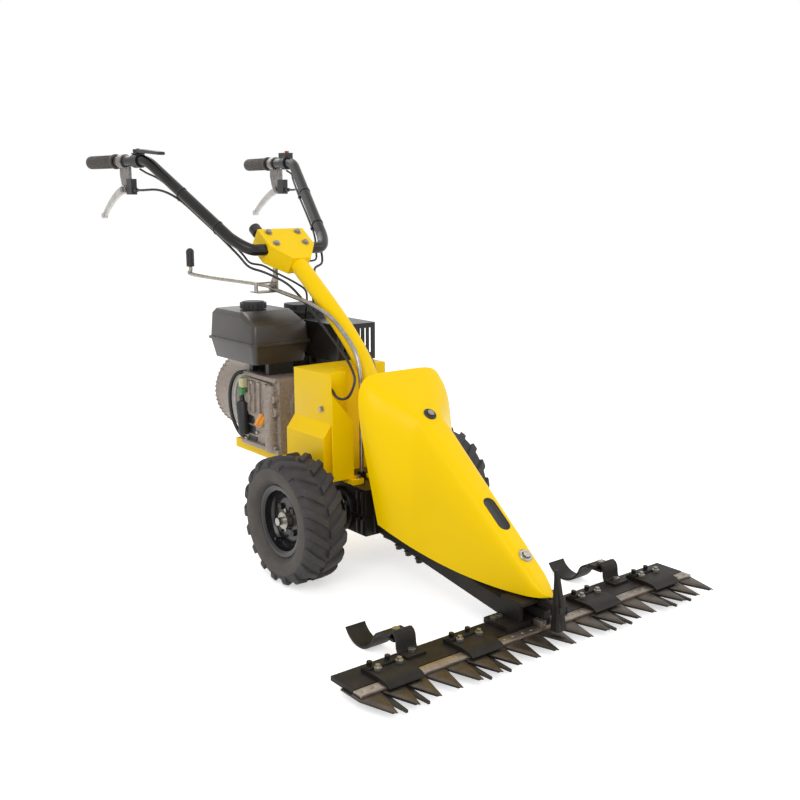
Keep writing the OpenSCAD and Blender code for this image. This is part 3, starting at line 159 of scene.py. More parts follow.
# A row for each finish: its real material, two colours or a colour setting and its darker share, the sizes
# of patches and grain, the grain's depth, the range of roughness, the shader's own values and the grain's
# stretch
FINISHES = {
    # Powder coated steel sheet: a soft gloss over a faint orange peel
    "yellow": ("Powder coated steel, yellow", "paint_colour", 0.97, 160, 2.4, 0.035, (0.28, 0.38),
               {"Specular IOR Level": 0.14}),
    # Powder coated tube and plate: satin brown-black with a fine grain
    "black": ("Powder coated steel, black", "#15120f", "#1e1a17", 60, 1.1, 0.02, (0.24, 0.36),
              {"Specular IOR Level": 0.35}),
    # Thin black paint over rolled bar, rubbed brown-grey by stubble
    "bar": ("Painted bar steel, black", "#1c1916", "#29241f", 35, 1.4, 0.05, (0.42, 0.58),
            {"Specular IOR Level": 0.2}),
    # Pressed rim under black enamel: sharp bright rings where the steps turn
    "rim": ("Enamelled rim steel, black", "#1b191a", "#232021", 50, 1.6, 0.01, (0.18, 0.28)),
    # Hot rolled bar and plate, blackened and oiled: brown-grey where the light catches it
    "dark steel": ("Blackened steel", "#2c2a28", "#3a3733", 40, 1.6, 0.05, (0.38, 0.55), {"Metallic": 0.55}),
    # Hardened section steel with grinding marks along each section
    "knife": ("Ground knife steel", "#5a5148", "#484139", 30, 0.9, 0.03, (0.32, 0.5), {"Metallic": 0.85},
              (1, 0.12, 1)),
    # Bright rolled flat bar, lightly tarnished
    "knife back": ("Rolled flat steel", "#a1968a", "#877c71", 25, 1.2, 0.03, (0.3, 0.48), {"Metallic": 0.85},
                   (0.06, 1, 1)),
    # Zinc plated fasteners and rod: pale, soft mirror with a faint cloudiness
    "zinc": ("Zinc plated steel", "#a8a39a", "#8d877e", 12, 0.8, 0.01, (0.24, 0.4), {"Metallic": 0.9}),
    # Turned shaft steel: bright, with a fine even sheen
    "bright steel": ("Turned steel", "#b9b6b0", "#9d9a94", 20, 0.7, 0.01, (0.2, 0.34), {"Metallic": 0.95}),
    # Die cast engine case: warm grey, sandy skin
    "casting": ("Die cast aluminium, grey", "engine_colour", 0.7, 9, 1.4, 0.08, (0.42, 0.6),
                {"Metallic": 0.3}),
    # Tumbled lever castings: pale, with a soft shine
    "lever": ("Tumbled aluminium", "#c2bfba", "#a9a6a1", 25, 1.0, 0.02, (0.26, 0.4), {"Metallic": 0.85}),
    # Sand cast lever brackets, their tone drifting darker over small patches
    "bracket": ("Sand cast aluminium", "#8d8985", "#6f6b67", 12, 1.2, 0.05, (0.34, 0.5), {"Metallic": 0.7}),
    # Pulleys, left as cast: dull and grey
    "iron": ("Cast iron", "#55524f", "#45423f", 20, 1.5, 0.06, (0.5, 0.65), {"Metallic": 0.6}),
    # Vulcanised tread rubber: dull, faintly grey with bloom, and darker than the sidewall as painted shade
    "tyre": ("Tread rubber", "#302e2e", "#3d3a3a", 50, 1.2, 0.05, (0.62, 0.8)),
    # Smooth sidewall, browned by bloom, and lighter than the tread of the same rubber as painted light
    "sidewall": ("Sidewall rubber", "#443f3b", "#514b45", 45, 1.4, 0.04, (0.6, 0.78)),
    # Soft moulded grips: matt and brown-grey
    "grip": ("Soft grip rubber", "#4a4541", "#565049", 18, 0.9, 0.04, (0.55, 0.72)),
    # Extruded vinyl sheath with a low shine
    "sheath": ("Vinyl cable sheath", "#141414", "#1c1c1c", 20, 0.8, 0.01, (0.32, 0.44)),
    # Clear vinyl hose, clouded by fuel
    "hose": ("Clouded vinyl hose", "#b9b9b4", "#9fa09c", 15, 0.8, 0.01, (0.2, 0.32)),
    # Black moulded nylon with spark-eroded texture, drawn a little coarse so that it shows
    "nylon": ("Moulded nylon, black", "#1b1b1c", "#242323", 30, 0.9, 0.04, (0.4, 0.55)),
    # Pressed steel under black-brown stove enamel, with a soft shine
    "enamel": ("Stove enamel, black", "#2f2924", "#38312b", 70, 1.6, 0.02, (0.28, 0.4),
               {"Coat Weight": 0.15, "Coat Roughness": 0.25}),
    # Glossy moulded button
    "red": ("Moulded ABS, red", "#c02418", "#ad2016", 10, 0.8, 0.01, (0.25, 0.35)),
    # Glossy moulded dipstick grip
    "orange": ("Moulded nylon, orange", "#f8ab45", "#f09a33", 12, 0.8, 0.015, (0.3, 0.42)),
    # Unpigmented nylon connector shells
    "pale": ("Moulded nylon, natural", "#d6d3a6", "#c4c094", 8, 0.8, 0.01, (0.3, 0.42)),
    # Pigmented connector shells
    "green": ("Moulded nylon, green", "#5f9a62", "#4d8652", 8, 0.8, 0.01, (0.3, 0.42)),
}
MATERIALS = {}


def material(name):
    """The finish of that name, made once."""
    if name not in MATERIALS:
        MATERIALS[name] = finish(*FINISHES[name])
    return MATERIALS[name]


# Mesh making: lengths are in millimetres, and points in metres unless a placer turns them into metres

WASHER_THICK = 1.6
SMOOTH_BELOW, DRESSED_BELOW, EASED_ABOVE = 40, 30, 30


def loft(bm, rings, closed=True, caps=False):
    """Quads between rings of points."""
    rows = [[bm.verts.new(point) for point in ring] for ring in rings]
    count = len(rows[0])
    for a, b in zip(rows, rows[1:]):
        for k in range(count if closed else count - 1):
            j = (k + 1) % count
            bm.faces.new((a[k], a[j], b[j], b[k]))
    if caps:
        bm.faces.new(rows[0][::-1])
        bm.faces.new(rows[-1])


def smooth_path(points, steps):
    """A curve through given points."""
    path = []
    for i in range(len(points) - 1):
        a, b, c, d = (points[min(max(i + k, 0), len(points) - 1)] for k in (-1, 0, 1, 2))
        for k in range(steps):
            t = k / steps
            path.append(0.5 * (2 * b + (c - a) * t + (2 * a - 5 * b + 4 * c - d) * t * t
                               + (3 * b - a - 3 * c + d) * t ** 3))
    return path + [points[-1]]


def circle(centre, radius, across, other, steps):
    """Points round a centre, in the plane of two directions."""
    turns = [2 * math.pi * k / steps for k in range(steps)]
    return [centre + radius * MM * (math.cos(a) * across + math.sin(a) * other) for a in turns]


def tube(bm, path, radius, sides):
    """A round bar along a path, its rings turned as little as they can be."""
    last = len(path) - 1
    along = [(path[min(i + 1, last)] - path[max(i - 1, 0)]).normalized() for i in range(last + 1)]
    across = along[0].orthogonal().normalized()
    rings = []
    for point, direction in zip(path, along):
        across = (across - across.dot(direction) * direction).normalized()
        rings.append(circle(point, radius, across, direction.cross(across), sides))
    loft(bm, rings, caps=True)


def lathe(bm, profile, axis, origin, steps):
    """A profile of (radius, distance along the axis) spun round."""
    axis = Vector(axis).normalized()
    across = axis.orthogonal().normalized()
    other = axis.cross(across)
    loft(bm, [circle(origin + axis * (along * MM), radius, across, other, steps)
              for radius, along in profile])
    bmesh.ops.remove_doubles(bm, verts=bm.verts, dist=1e-6)


def both_halves(half):
    """A section of (radius, distance from the middle) points and its mirror image."""
    return list(half) + [(r, -x) for r, x in reversed(half)]


def sheet_section(mid, thickness):
    """Closed section of bent sheet round its middle line."""
    mid = [Vector(point) for point in mid]
    last = len(mid) - 1
    upper, lower = [], []
    for i, point in enumerate(mid):
        along = (mid[min(i + 1, last)] - mid[max(i - 1, 0)]).normalized()
        across = Vector((-along.y, along.x)) * thickness / 2
        upper.append(point + across)
        lower.append(point - across)
    ring = upper + lower[::-1]
    return ring + ring[:1]


def bolt_head(radius, height, washer):
    """A hexagon head with a chamfered crown on its washer, standing on the origin."""
    bm = bmesh.new()
    flat, rim, crown = WASHER_THICK, 0.4, 1.2
    disc = ((0, 0), (washer, 0), (washer, flat - rim), (washer - rim, flat), (0, flat))
    lathe(bm, disc, (0, 0, 1), Vector(), 24)
    hexagon = ((radius, flat), (radius, height - crown), (radius * 0.84, height), (0, height))
    lathe(bm, hexagon, (0, 0, 1), Vector(), 6)
    return bm


def facing(point, normal):
    """A place at a point whose own Z lies along a normal."""
    return Matrix.Translation(point) @ Vector(normal).to_track_quat("Z", "Y").to_matrix().to_4x4()


def slab(bm, place, low, high, edge, segments=3):
    """A box between two corners with its edges rounded."""
    low, high = place(*low), place(*high)
    made = bmesh.ops.create_cube(bm, size=1, matrix=Matrix.Translation((low + high) / 2)
                                 @ Matrix.Diagonal((*(high - low), 1)))
    edges = list({e for v in made["verts"] for e in v.link_edges})
    bmesh.ops.bevel(bm, geom=edges, offset=edge * MM, segments=segments, profile=0.5, affect="EDGES")


def prism(bm, outline, reach):
    """An outline pushed along a vector."""
    loft(bm, [outline, [point + Vector(reach) * MM for point in outline]], caps=True)


def plate(bm, place, outline, x, wide):
    """An outline of (along, up) points pushed sideways from x."""
    prism(bm, [place(x, y, z) for y, z in outline], (wide, 0, 0))


def placed(name, data):
    """An object in the scene."""
    made = bpy.data.objects.new(name, data)
    bpy.context.scene.collection.objects.link(made)
    return made


def meshed(name, bm):
    """An object in the scene with a finished mesh."""
    mesh = bpy.data.meshes.new(name)
    bm.to_mesh(mesh)
    bm.free()
    return placed(name, mesh)


def smoothed(made, sharp):
    """Shades a piece smooth up to an angle."""
    made.data.shade_smooth()
    made.data.set_sharp_from_angle(angle=math.radians(sharp))


def skinned(name, bm, look, sharp=SMOOTH_BELOW):
    """An object whose faces point outwards, with its finish."""
    bmesh.ops.recalc_face_normals(bm, faces=bm.faces)
    made = meshed(name, bm)
    smoothed(made, sharp)
    made.data.materials.append(material(look))
    return made


def eased(made, width, angle=EASED_ABOVE):
    """Rounds a piece's hard edges so that they catch the light."""
    bevel = made.modifiers.new("Eased edges", "BEVEL")
    bevel.width = width * MM
    bevel.segments = 2
    bevel.limit_method = "ANGLE"
    bevel.angle_limit = math.radians(angle)
    bevel.harden_normals = True
    bevel.use_clamp_overlap = True


def piece(name, bm, look, node, edge=0, sharp=SMOOTH_BELOW):
    """A piece on a solid: it rides on the solid's body, with its own finish."""
    made = skinned(name, bm, look, sharp)
    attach(made, BODY_OF[node])
    if edge:
        eased(made, edge)
    return made


def stand_in(name, bm, look, node, edge=0, sharp=SMOOTH_BELOW):
    """A piece that is shown in place of a solid."""
    made = piece(name, bm, look, node, edge, sharp)
    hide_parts(node)
    return made


def dress(node, look, edge=0.8):
    """A solid's own shape with eased edges."""
    bm = bmesh.new()
    bm.from_mesh(frame["nodes"][node].data)
    bmesh.ops.remove_doubles(bm, verts=bm.verts, dist=0.02 * MM)
    bmesh.ops.dissolve_limit(bm, angle_limit=math.radians(0.6), verts=bm.verts, edges=bm.edges)
    return stand_in(node + "_dressed", bm, look, node, edge, DRESSED_BELOW)


def dress_all(*rows):
    """Dresses several solids: each row is a node, its finish and the width of its eased edges."""
    for row in rows:
        dress(*row)


def repaint(made, look, chosen):
    """Gives a second finish to the faces whose middle passes a test."""
    made.data.materials.append(material(look))
    for face in made.data.polygons:
        if chosen(face.center):
            face.material_index = 1


# Copies of a shape, in a row or round a ring

COPIES = "Copies in a row or ring"


def copies_tree():
    """A node tree that sets copies of a shape along a step and turns each a little further."""
    tree = bpy.data.node_groups.new(COPIES, "GeometryNodeTree")
    sockets = {"Shape": "NodeSocketObject", "Count": "NodeSocketInt", "Step": "NodeSocketVector",
               "Turn": "NodeSocketVector", "Finish": "NodeSocketMaterial"}
    for label, kind in sockets.items():
        tree.interface.new_socket(label, in_out="INPUT", socket_type=kind)
    tree.interface.new_socket("Geometry", in_out="OUTPUT", socket_type="NodeSocketGeometry")
    given = add(tree, "NodeGroupInput").outputs
    line = add(tree, "GeometryNodeMeshLine", {"Count": given["Count"], "Offset": given["Step"]},
               mode="OFFSET")
    index = add(tree, "GeometryNodeInputIndex")
    turn = add(tree, "ShaderNodeVectorMath", {"Vector": given["Turn"], "Scale": index.outputs[0]},
               operation="SCALE")
    shape = add(tree, "GeometryNodeObjectInfo", {"Object": given["Shape"]})
    copies = add(tree, "GeometryNodeInstanceOnPoints", {
        "Points": line.outputs[0], "Instance": shape.outputs["Geometry"], "Rotation": turn.outputs[0]})
    solid = add(tree, "GeometryNodeRealizeInstances", {"Geometry": copies.outputs[0]})
    painted = add(tree, "GeometryNodeSetMaterial", {
        "Geometry": solid.outputs[0], "Material": given["Finish"]})
    add(tree, "NodeGroupOutput", {"Geometry": painted.outputs[0]})
    return tree


def repeat(bm, shape, look, count, place, step=(0, 0, 0), turn=(0, 0, 0)):
    """Adds copies of a shape to a mesh, placed as one at a point or by a matrix."""
    tree = bpy.data.node_groups.get(COPIES) or copies_tree()
    source = meshed("shape", shape)
    host = placed("copies", bpy.data.meshes.new("copies"))
    copies = host.modifiers.new("Copies", "NODES")
    copies.node_group = tree
    values = {"Shape": source, "Count": count, "Step": step, "Turn": turn, "Finish": material(look)}
    for item in tree.interface.items_tree:
        if item.in_out == "INPUT":
            copies[item.identifier] = values[item.name]
    graph = bpy.context.evaluated_depsgraph_get()
    result = bpy.data.meshes.new_from_object(host.evaluated_get(graph))
    result.transform(place if isinstance(place, Matrix) else Matrix.Translation(place))
    result.materials.clear()
    bm.from_mesh(result)
    for made in (source, host):
        bpy.data.objects.remove(made)


# Settings that a user would change

class MowerSettings(PropertyGroup):
    """Sizes of the detail that is added to the solids, and the main colours."""

    paint_colour: FloatVectorProperty(name="Paint", description="Colour of the painted panels", size=4,
                                      subtype="COLOR", default=linear("#ffd400"), min=0, max=1)
    engine_colour: FloatVectorProperty(name="Engine casting", description="Colour of the engine's castings",
                                       size=4, subtype="COLOR", default=linear("#a4978c"), min=0, max=1)
    floor_colour: FloatVectorProperty(name="Floor", description="Colour of the floor", size=4,
                                      subtype="COLOR", default=linear("#f4f4f4"), min=0, max=1)
    lug_count: IntProperty(name="Lugs", description="Lugs on each side of a tyre", default=18, min=12, max=24)
    lug_height: FloatProperty(name="Lug height", description="Height of a lug over the tread",
                              default=0.0095, min=0.005, max=0.012, unit="LENGTH")
    grip_ribs: IntProperty(name="Grip ribs", description="Ribs round a grip", default=28, min=12, max=40)
    rivet_radius: FloatProperty(name="Rivet radius", description="Radius of a knife rivet's head",
                                default=0.0042, min=0.003, max=0.006, unit="LENGTH")
    vent_count: IntProperty(name="Vents", description="Vents round the recoil cover", default=52, min=20,
                            max=90)
    lamp_power: FloatProperty(name="Lamp power", description="Power of the main lamp", default=76, min=1,
                              max=500, unit="POWER")


# Front cover

COVER_BACK_Y, COVER_BACK_LOW_Y = -132, -176
COVER_NOSE_Y, COVER_NOSE_LOW_Y = -673, -667
COVER_NOSE_Z, COVER_BACK_Z, COVER_BACK_LOW_Z = 110, 540, 166
COVER_HALF, COVER_LOW_HALF, NOSE_HALF, RIDGE_HALF = 154, 106, 22, 52
LOW_EDGE_BEND, LOW_EDGE_FALL = 113, 175
NOSE_FROM, NOSE_ROWS_FROM = 0.9, 0.75
COVER_ROWS, COVER_COLUMNS, COVER_SHEET, COVER_CREASE = 90, 72, 2.5, 50
COVER_SLOPE = math.atan2(COVER_BACK_Z - COVER_NOSE_Z, COVER_BACK_Y - COVER_NOSE_Y)
COVER_SLOT, SLOT_RADIUS, SLOT_DEPTH = (-469, -516), 17, 40
COVER_WASHERS = (("upper_washer", "nylon", -250), ("nose_washer", "zinc", COVER_NOSE_Y + 86))
CUP_WASHER = ((8, 0.1), (16.5, 0.1), (17, 1.5), (14.5, 4.2), (11, 4.6), (8, 3))
SLOT_DISH = ((14, -8.5), (20, -8), (20, -3), (16.7, -2.9), (16.7, -1.4), (15.6, -1.2), (14.2, -4), (11.5, -6),
             (7, -6.6))


def ease(low, high, value):
    """A smooth step between two values."""
    u = min(1, max(0, (value - low) / (high - low)))
    return u * u * (3 - 2 * u)


def cover_z(y):
    """Height of the cover's ridge above the ground."""
    return COVER_BACK_Z + (y - COVER_BACK_Y) * math.tan(COVER_SLOPE)


def cover_point(s, angle):
    """A point of the cover: s from its rear to its nose, angle from its right edge to its left."""
    drop = 1 - ((s - NOSE_FROM) / (1 - NOSE_FROM)) ** 2 if s > NOSE_FROM else 1
    nose = math.sqrt(max(0.02, drop))
    power = 2 / (4 + 2 * max(0, 1 - s / 0.25))
    up = abs(math.cos(angle)) ** power
    out = math.copysign(abs(math.sin(angle)) ** power, angle)
    half_low = (COVER_LOW_HALF + s * (NOSE_HALF - COVER_LOW_HALF)) * nose
    half_top = (NOSE_HALF + RIDGE_HALF * (1 - s) ** 0.75
                + (COVER_HALF - NOSE_HALF - RIDGE_HALF) * (1 - ease(0.03, 0.24, s))) * nose
    wide = max(4, half_low + (half_top - half_low) * up)
    low = COVER_BACK_LOW_Z + s * (LOW_EDGE_BEND * s - LOW_EDGE_FALL)
    top = COVER_BACK_Z + s * (COVER_NOSE_Z - COVER_BACK_Z)
    high = low + (top - low) * (0.35 + 0.65 * nose if s > NOSE_FROM else 1)
    y_low = COVER_BACK_LOW_Y + s * (COVER_NOSE_LOW_Y - COVER_BACK_LOW_Y)
    y_high = COVER_BACK_Y + s * (COVER_NOSE_Y - COVER_BACK_Y)
    return from_ground(wide * out, y_low + (y_high - y_low) * up, low + (high - low) * up)


def cover_station(u):
    """Rows of the cover from rear to nose, closer together round the nose."""
    if u < NOSE_ROWS_FROM:
        return NOSE_FROM * u / NOSE_ROWS_FROM
    turn = (u - NOSE_ROWS_FROM) / (1 - NOSE_ROWS_FROM) * math.pi / 2
    return NOSE_FROM + (1 - NOSE_FROM) * math.sin(turn)


def slot_place():
    """The middle of the slot, lying in the cover's slope."""
    y_mid = sum(COVER_SLOT) / 2
    return Matrix.Translation(from_ground(0, y_mid, cover_z(y_mid))) @ Matrix.Rotation(COVER_SLOPE, 4, "X")


def slot_ring(radius, up):
    """The slot's outline with a radius of its own, so far above the cover's skin."""
    turns = [math.pi * k / 16 for k in range(17)]
    outline = [(radius * math.cos(a), radius * math.sin(a)) for a in turns]
    length = (COVER_SLOT[0] - COVER_SLOT[1]) / math.cos(COVER_SLOPE) / 2
    ring = [(x, length + y) for x, y in outline] + [(-x, -length - y) for x, y in outline]
    return [slot_place() @ at_origin(x, y, up) for x, y in ring]


def cut_slot(made):
    """Cuts the long slot in the cover's ridge."""
    bm = bmesh.new()
    prism(bm, slot_ring(SLOT_RADIUS, -SLOT_DEPTH / 2), slot_place().to_3x3() @ Vector((0, 0, SLOT_DEPTH)))
    bmesh.ops.recalc_face_normals(bm, faces=bm.faces)
    cutter = meshed("slot", bm)
    cut = made.modifiers.new("Slot", "BOOLEAN")
    cut.operation = "DIFFERENCE"
    cut.object = cutter
    graph = bpy.context.evaluated_depsgraph_get()
    result = bpy.data.meshes.new_from_object(made.evaluated_get(graph))
    made.modifiers.clear()
    made.data = result
    bpy.data.objects.remove(cutter)


class MOWER_OT_front_cover(Operator):
    """Moulded cowl over the knife drive, with its slot and cup washers"""

    bl_idname = "mower.front_cover"
    bl_label = "Front cover"

    def execute(self, context):
        stations = [cover_station(k / COVER_ROWS) for k in range(COVER_ROWS + 1)]
        angles = [math.pi * (k / COVER_COLUMNS - 0.5) for k in range(COVER_COLUMNS + 1)]
        bm = bmesh.new()
        loft(bm, [[cover_point(s, angle) for angle in angles] for s in stations], closed=False)
        cover = stand_in("cowl", bm, "yellow", "front_cover", sharp=COVER_CREASE)
        sheet = cover.modifiers.new("Sheet", "SOLIDIFY")
        sheet.thickness = COVER_SHEET * MM
        sheet.offset = -1
        cut_slot(cover)
        smoothed(cover, COVER_CREASE)
        eased(cover, 0.9, COVER_CREASE)
        tilt = Matrix.Rotation(COVER_SLOPE, 3, "X") @ Vector((0, 0, 1))
        for name, look, y in COVER_WASHERS:
            bm = bmesh.new()
            lathe(bm, CUP_WASHER, tilt, from_ground(0, y, cover_z(y)), 48)
            piece(name, bm, look, "front_cover")
        bm = bmesh.new()
        loft(bm, [slot_ring(radius, up) for radius, up in SLOT_DISH], caps=True)
        piece("slot_insert", bm, "nylon", "front_cover")
        dress("cover_brackets", "dark steel")
        return {"FINISHED"}


# Wheels

TYRE_R, TYRE_W, RIM_R = 165, 118, 93
SIDEWALL_REACH, SIDEWALL_FROM = 138, 30
HUB_FACE, HUB_R, PIN_HALF = 14.5, 24, 5
LUG_SLANT, LUG_SHOULDER, LUG_ROUND = math.radians(38), 50, 1.6
# A lug's stations: distance from the middle of the tread, and drop over the shoulder
LUG_STATIONS = ((3, 0), (9, 0), (18, 0), (27, 0), (36, 0), (43, -0.6), (49, -2.2), (54, -6), (57.4, -13),
                (58.4, -22))
RIM_HALF = ((92, 42.5), (88, 42.2), (82.5, 41.6), (79, 38.5), (78.3, 33), (77.9, 23), (76.5, 19), (72.5, 15),
            (71.5, 10))
DISC = ((71.5, 9), (66, 9), (63, 10), (60.5, 12.5), (57.5, 15), (54, 16), (48, 16), (38, 16), (26, 16))
RIM_SHEET, DISC_SHEET = 3, 3.4
VALVE, VALVE_TURN = ((14, 70), (20, 68), (28, 66), (38, 64)), math.radians(150)


def tyre_profile(lug):
    """Half section of the tyre as (radius, distance from its middle), from the bead to the tread."""
    carcass, half = TYRE_R - lug, TYRE_W / 2
    bead = ((-13, 19), (0.6, 19), (3, 15), (5, 9), (8, 6), (10, 6.6), (12, 4), (17, 2), (24, 0.8))
    crown = ((30, 0.6), (25, 0.8), (19, 1.6), (13, 3.4), (7, 7), (3, 12), (1, 18), (0, 28))
    return ([(RIM_R + rise, half - inset) for rise, inset in bead]
            + [(carcass - drop, half - inset) for drop, inset in crown] + [(carcass, 6)])


def lug_shape(lug, side):
    """One tread bar from near the middle of the tread out over the shoulder, at the top of the wheel."""
    rings = []
    for x, drop in LUG_STATIONS:
        arc = x * math.tan(LUG_SLANT) - 20
        top = TYRE_R - 0.4 + drop
        floor = TYRE_R - lug - 6 + min(0, drop * 0.9)
        wide = 7.5 + 1.5 * x / (TYRE_W / 2)
        inward = 6 + (x - LUG_SHOULDER) * 1.4 if x > LUG_SHOULDER else 0
        ring = []
        for offset, radius, pull in (
                (-wide - 3, floor, inward), (-wide, top - LUG_ROUND, 0), (-wide + LUG_ROUND, top, 0),
                (wide - LUG_ROUND, top, 0), (wide, top - LUG_ROUND, 0), (wide + 3, floor, inward)):
            angle = (arc + offset / math.cos(LUG_SLANT)) / TYRE_R
            ring.append(at_origin(side * (x - pull), radius * math.sin(angle), radius * math.cos(angle)))
        rings.append(ring)
    bm = bmesh.new()
    loft(bm, rings, caps=True)
    return bm


def wheel_tyre(sizes, name, side, hub):
    """A carcass with a row of lugs on each side, its sidewalls browner than its tread, the tread painted
    darker as painted shade.
    """
    lug, pitch = sizes.lug_height / MM, 2 * math.pi / sizes.lug_count
    half = tyre_profile(lug)
    bm = bmesh.new()
    lathe(bm, [(r, side * x) for r, x in both_halves(half) + half[:1]], (1, 0, 0), hub, 144)
    for row in (-1, 1):
        place = Matrix.Translation(hub) @ Matrix.Rotation(row * pitch / 4, 4, "X")
        repeat(bm, lug_shape(lug, row), "tyre", sizes.lug_count, place, turn=(pitch, 0, 0))
    tyre = stand_in(name + "_tyre", bm, "tyre", "tyre_" + name, sharp=42)
    # Painted shade: the tread keeps the darker rubber and the sidewall faces take a lighter one, lit and
    # shaded tones of the same rubber
    repaint(tyre, "sidewall", lambda at: (at - hub).yz.length < SIDEWALL_REACH * MM
            and abs(at.x - hub.x) > SIDEWALL_FROM * MM)


def wheel_rim(name, side, hub):
    """A pressed rim with its stepped disc, and the tyre's valve."""
    bm = bmesh.new()
    for mid, thickness in ((both_halves(RIM_HALF), RIM_SHEET), (DISC, DISC_SHEET)):
        lathe(bm, [(r, side * x) for r, x in sheet_section(mid, thickness)], (1, 0, 0), hub, 96)
    stand_in(name + "_rim", bm, "rim", "rim_" + name)
    bm = bmesh.new()
    from_hub, sine, cosine = placer(hub), math.sin(VALVE_TURN), math.cos(VALVE_TURN)
    stem = [from_hub(side * x, r * sine, r * cosine) for x, r in VALVE]
    tube(bm, stem, 3.2, 14)
    tube(bm, stem[2:], 4.2, 14)
    piece(name + "_valve", bm, "nylon", "tyre_" + name)


class MOWER_OT_wheels(Operator):
    """Lugged tyres on pressed rims, with hubs and half shafts"""

    bl_idname = "mower.wheels"
    bl_label = "Wheels"

    def execute(self, context):
        for name, side in SIDES.items():
            hub = middle("rim_" + name)
            wheel_tyre(context.scene.mower, name, side, hub)
            wheel_rim(name, side, hub)
            boss = dress("wheel_hub_" + name, "dark steel")
            repaint(boss, "zinc", lambda at: side * (at.x - hub.x) > HUB_FACE * MM and (
                (at - hub).yz.length < HUB_R * MM or abs(at.y - hub.y) < PIN_HALF * MM))
            dress("half_shaft_" + name, "bright steel")
        return {"FINISHED"}


# Chassis, guard and column

COLUMN_CURVE = ((-44, 77), (-44, 330), (-40, 360), (324, 610))
COLUMN_RADIUS = 25
BEARING_COVER = ((34, -1), (60, -1), (60, 5), (57, 8), (44, 8), (42, 12), (36, 14), (34, 14))
STONE_SHIELD = ((-572, 84.5), (-556, 86), (-470, 97.4), (-380, 110), (-380, 107.4), (-470, 94.8),
                (-556, 83.4), (-572, 82))
SHIELD_HALF = 44.4
NECK_BOLTS, NECK_BELOW = ((-190, 105.9), (-228, 99.7), (-270, 92.9)), (0, -0.16, -0.99)


def column_path(steps):
    """The column's bent centre line."""
    path = []
    for k in range(steps + 1):
        t = k / steps
        weights = ((1 - t) ** 3, 3 * (1 - t) ** 2 * t, 3 * (1 - t) * t * t, t ** 3)
        y, z = (sum(w * p[i] for w, p in zip(weights, COLUMN_CURVE)) for i in (0, 1))
        path.append(from_axle(0, y, z))
    return path


def case_detail():
    """Bearing covers, ribs and bolts on the gear case."""
    bm, bolts = bmesh.new(), bmesh.new()
    for side in SIDES.values():
        lathe(bm, BEARING_COVER, (side, 0, 0), from_axle(side * 98, 0, 0), 64)
        for y in (-104, -84, 62):
            slab(bm, from_axle, (side * 97, y - 3, -44), (side * 104, y + 3, 66), 1, 2)
        head = bolt_head(6, 6, 8)
        bmesh.ops.transform(head, matrix=facing(at_origin(0, 0, 51), (side, 0, 0)), verts=head.verts)
        repeat(bolts, head, "dark steel", 6, from_axle(side * 105.5, 0, 0), turn=(math.pi / 3, 0, 0))
    for x in (-72, -36, 36, 72):
        slab(bm, from_axle, (x - 3, -121, -42), (x + 3, -114, 60), 1, 2)
    piece("case_ribs", bm, "black", "gear_case", edge=1.2)
    piece("case_bolts", bolts, "dark steel", "gear_case", sharp=30)


def neck_detail():
    """Stone shield between the neck beams, and the bolts that hang below them."""
    bm, bolts = bmesh.new(), bmesh.new()
    plate(bm, from_ground, STONE_SHIELD, -SHIELD_HALF, 2 * SHIELD_HALF)
    piece("stone_shield", bm, "bar", "neck_beams", sharp=30)
    for side in SIDES.values():
        for y, z in NECK_BOLTS:
            seat = facing(from_ground(side * 50, y, z), NECK_BELOW)
            repeat(bolts, bolt_head(8.5, 13, 11), "black", 1, seat)
    piece("neck_bolts", bolts, "black", "neck_beams", sharp=30)


class MOWER_OT_chassis(Operator):
    """Gear case, engine cradle, belt guard and bent steering column"""

    bl_idname = "mower.chassis"
    bl_label = "Chassis"

    def execute(self, context):
        bm = bmesh.new()
        tube(bm, column_path(60), COLUMN_RADIUS, 40)
        slab(bm, from_axle, (-27, -79, 73), (27, -6, 81), 2)
        stand_in("column_tube", bm, "yellow", "steering_column")
        dress_all(
            ("column_head", "yellow", 6), ("engine_cradle", "yellow", 1.6), ("belt_guard", "yellow", 1.2),
            ("guard_front_plate", "yellow", 1.2), ("gear_case", "black", 3), ("drive_case", "black", 2.5),
            ("frame_bolts", "zinc", 0.6), ("lock_knob", "nylon", 2.5), ("drive_belt", "grip"),
            ("input_shaft", "iron", 0.6), ("engine_pulley", "iron", 0.6),
            ("knife_crank", "bright steel", 0.6))
        case_detail()
        neck_detail()
        return {"FINISHED"}


# Handlebar and controls

TUBE_RADIUS, GRIP_RADIUS, GRIP_LENGTH = 16, 20, 157
ARM_LOW, ARM_HIGH, ARM_END = Vector((148, 32, 17.5)), Vector((251, 356, 248.5)), Vector((283, 688, 246.5))
ARM_BEND = 30
RISE, LEVEL = (ARM_HIGH - ARM_LOW).normalized(), (ARM_END - ARM_HIGH).normalized()
LEVER_X, LEVER_BLOCK = 264, ((-12, 404, 148), (12, 459, 197))
# Clips along the sloping part: place, then inward and downward places of the cables held there
TIES = ((0.2, ((0, 22), (13.4, 18))), (0.6, ((-2, 24), (12, 20))))
TUBE_BAND, CABLE_BAND, BAND_HALF = (16.1, 1.3), (3.2, 1.5), 3


def arc(a, b, c, steps):
    """A quadratic bend from a to c with its corner at b."""
    ts = [k / steps for k in range(steps + 1)]
    return [(1 - t) ** 2 * Vector(a) + 2 * t * (1 - t) * Vector(b) + t * t * Vector(c) for t in ts]


def arm_path():
    """The tube from its clamp out to the left grip, in millimetres from the clamp."""
    lower = arc((106, 0, 0), (132, 4, 2), ARM_LOW + ARM_BEND * RISE, 14)
    upper = arc(ARM_HIGH - ARM_BEND * RISE, ARM_HIGH, ARM_HIGH + ARM_BEND * LEVEL, 14)
    return [Vector((30, 0, 0)), Vector((94, 0, 0))] + lower + upper + [ARM_END]


def by_arm(u, inward, below):
    """A point beside the sloping part of the tube: u along it, in towards the middle, and below."""
    return ARM_LOW + u * (ARM_HIGH - ARM_LOW) + Vector((-inward, below * RISE.z, -below * RISE.y))


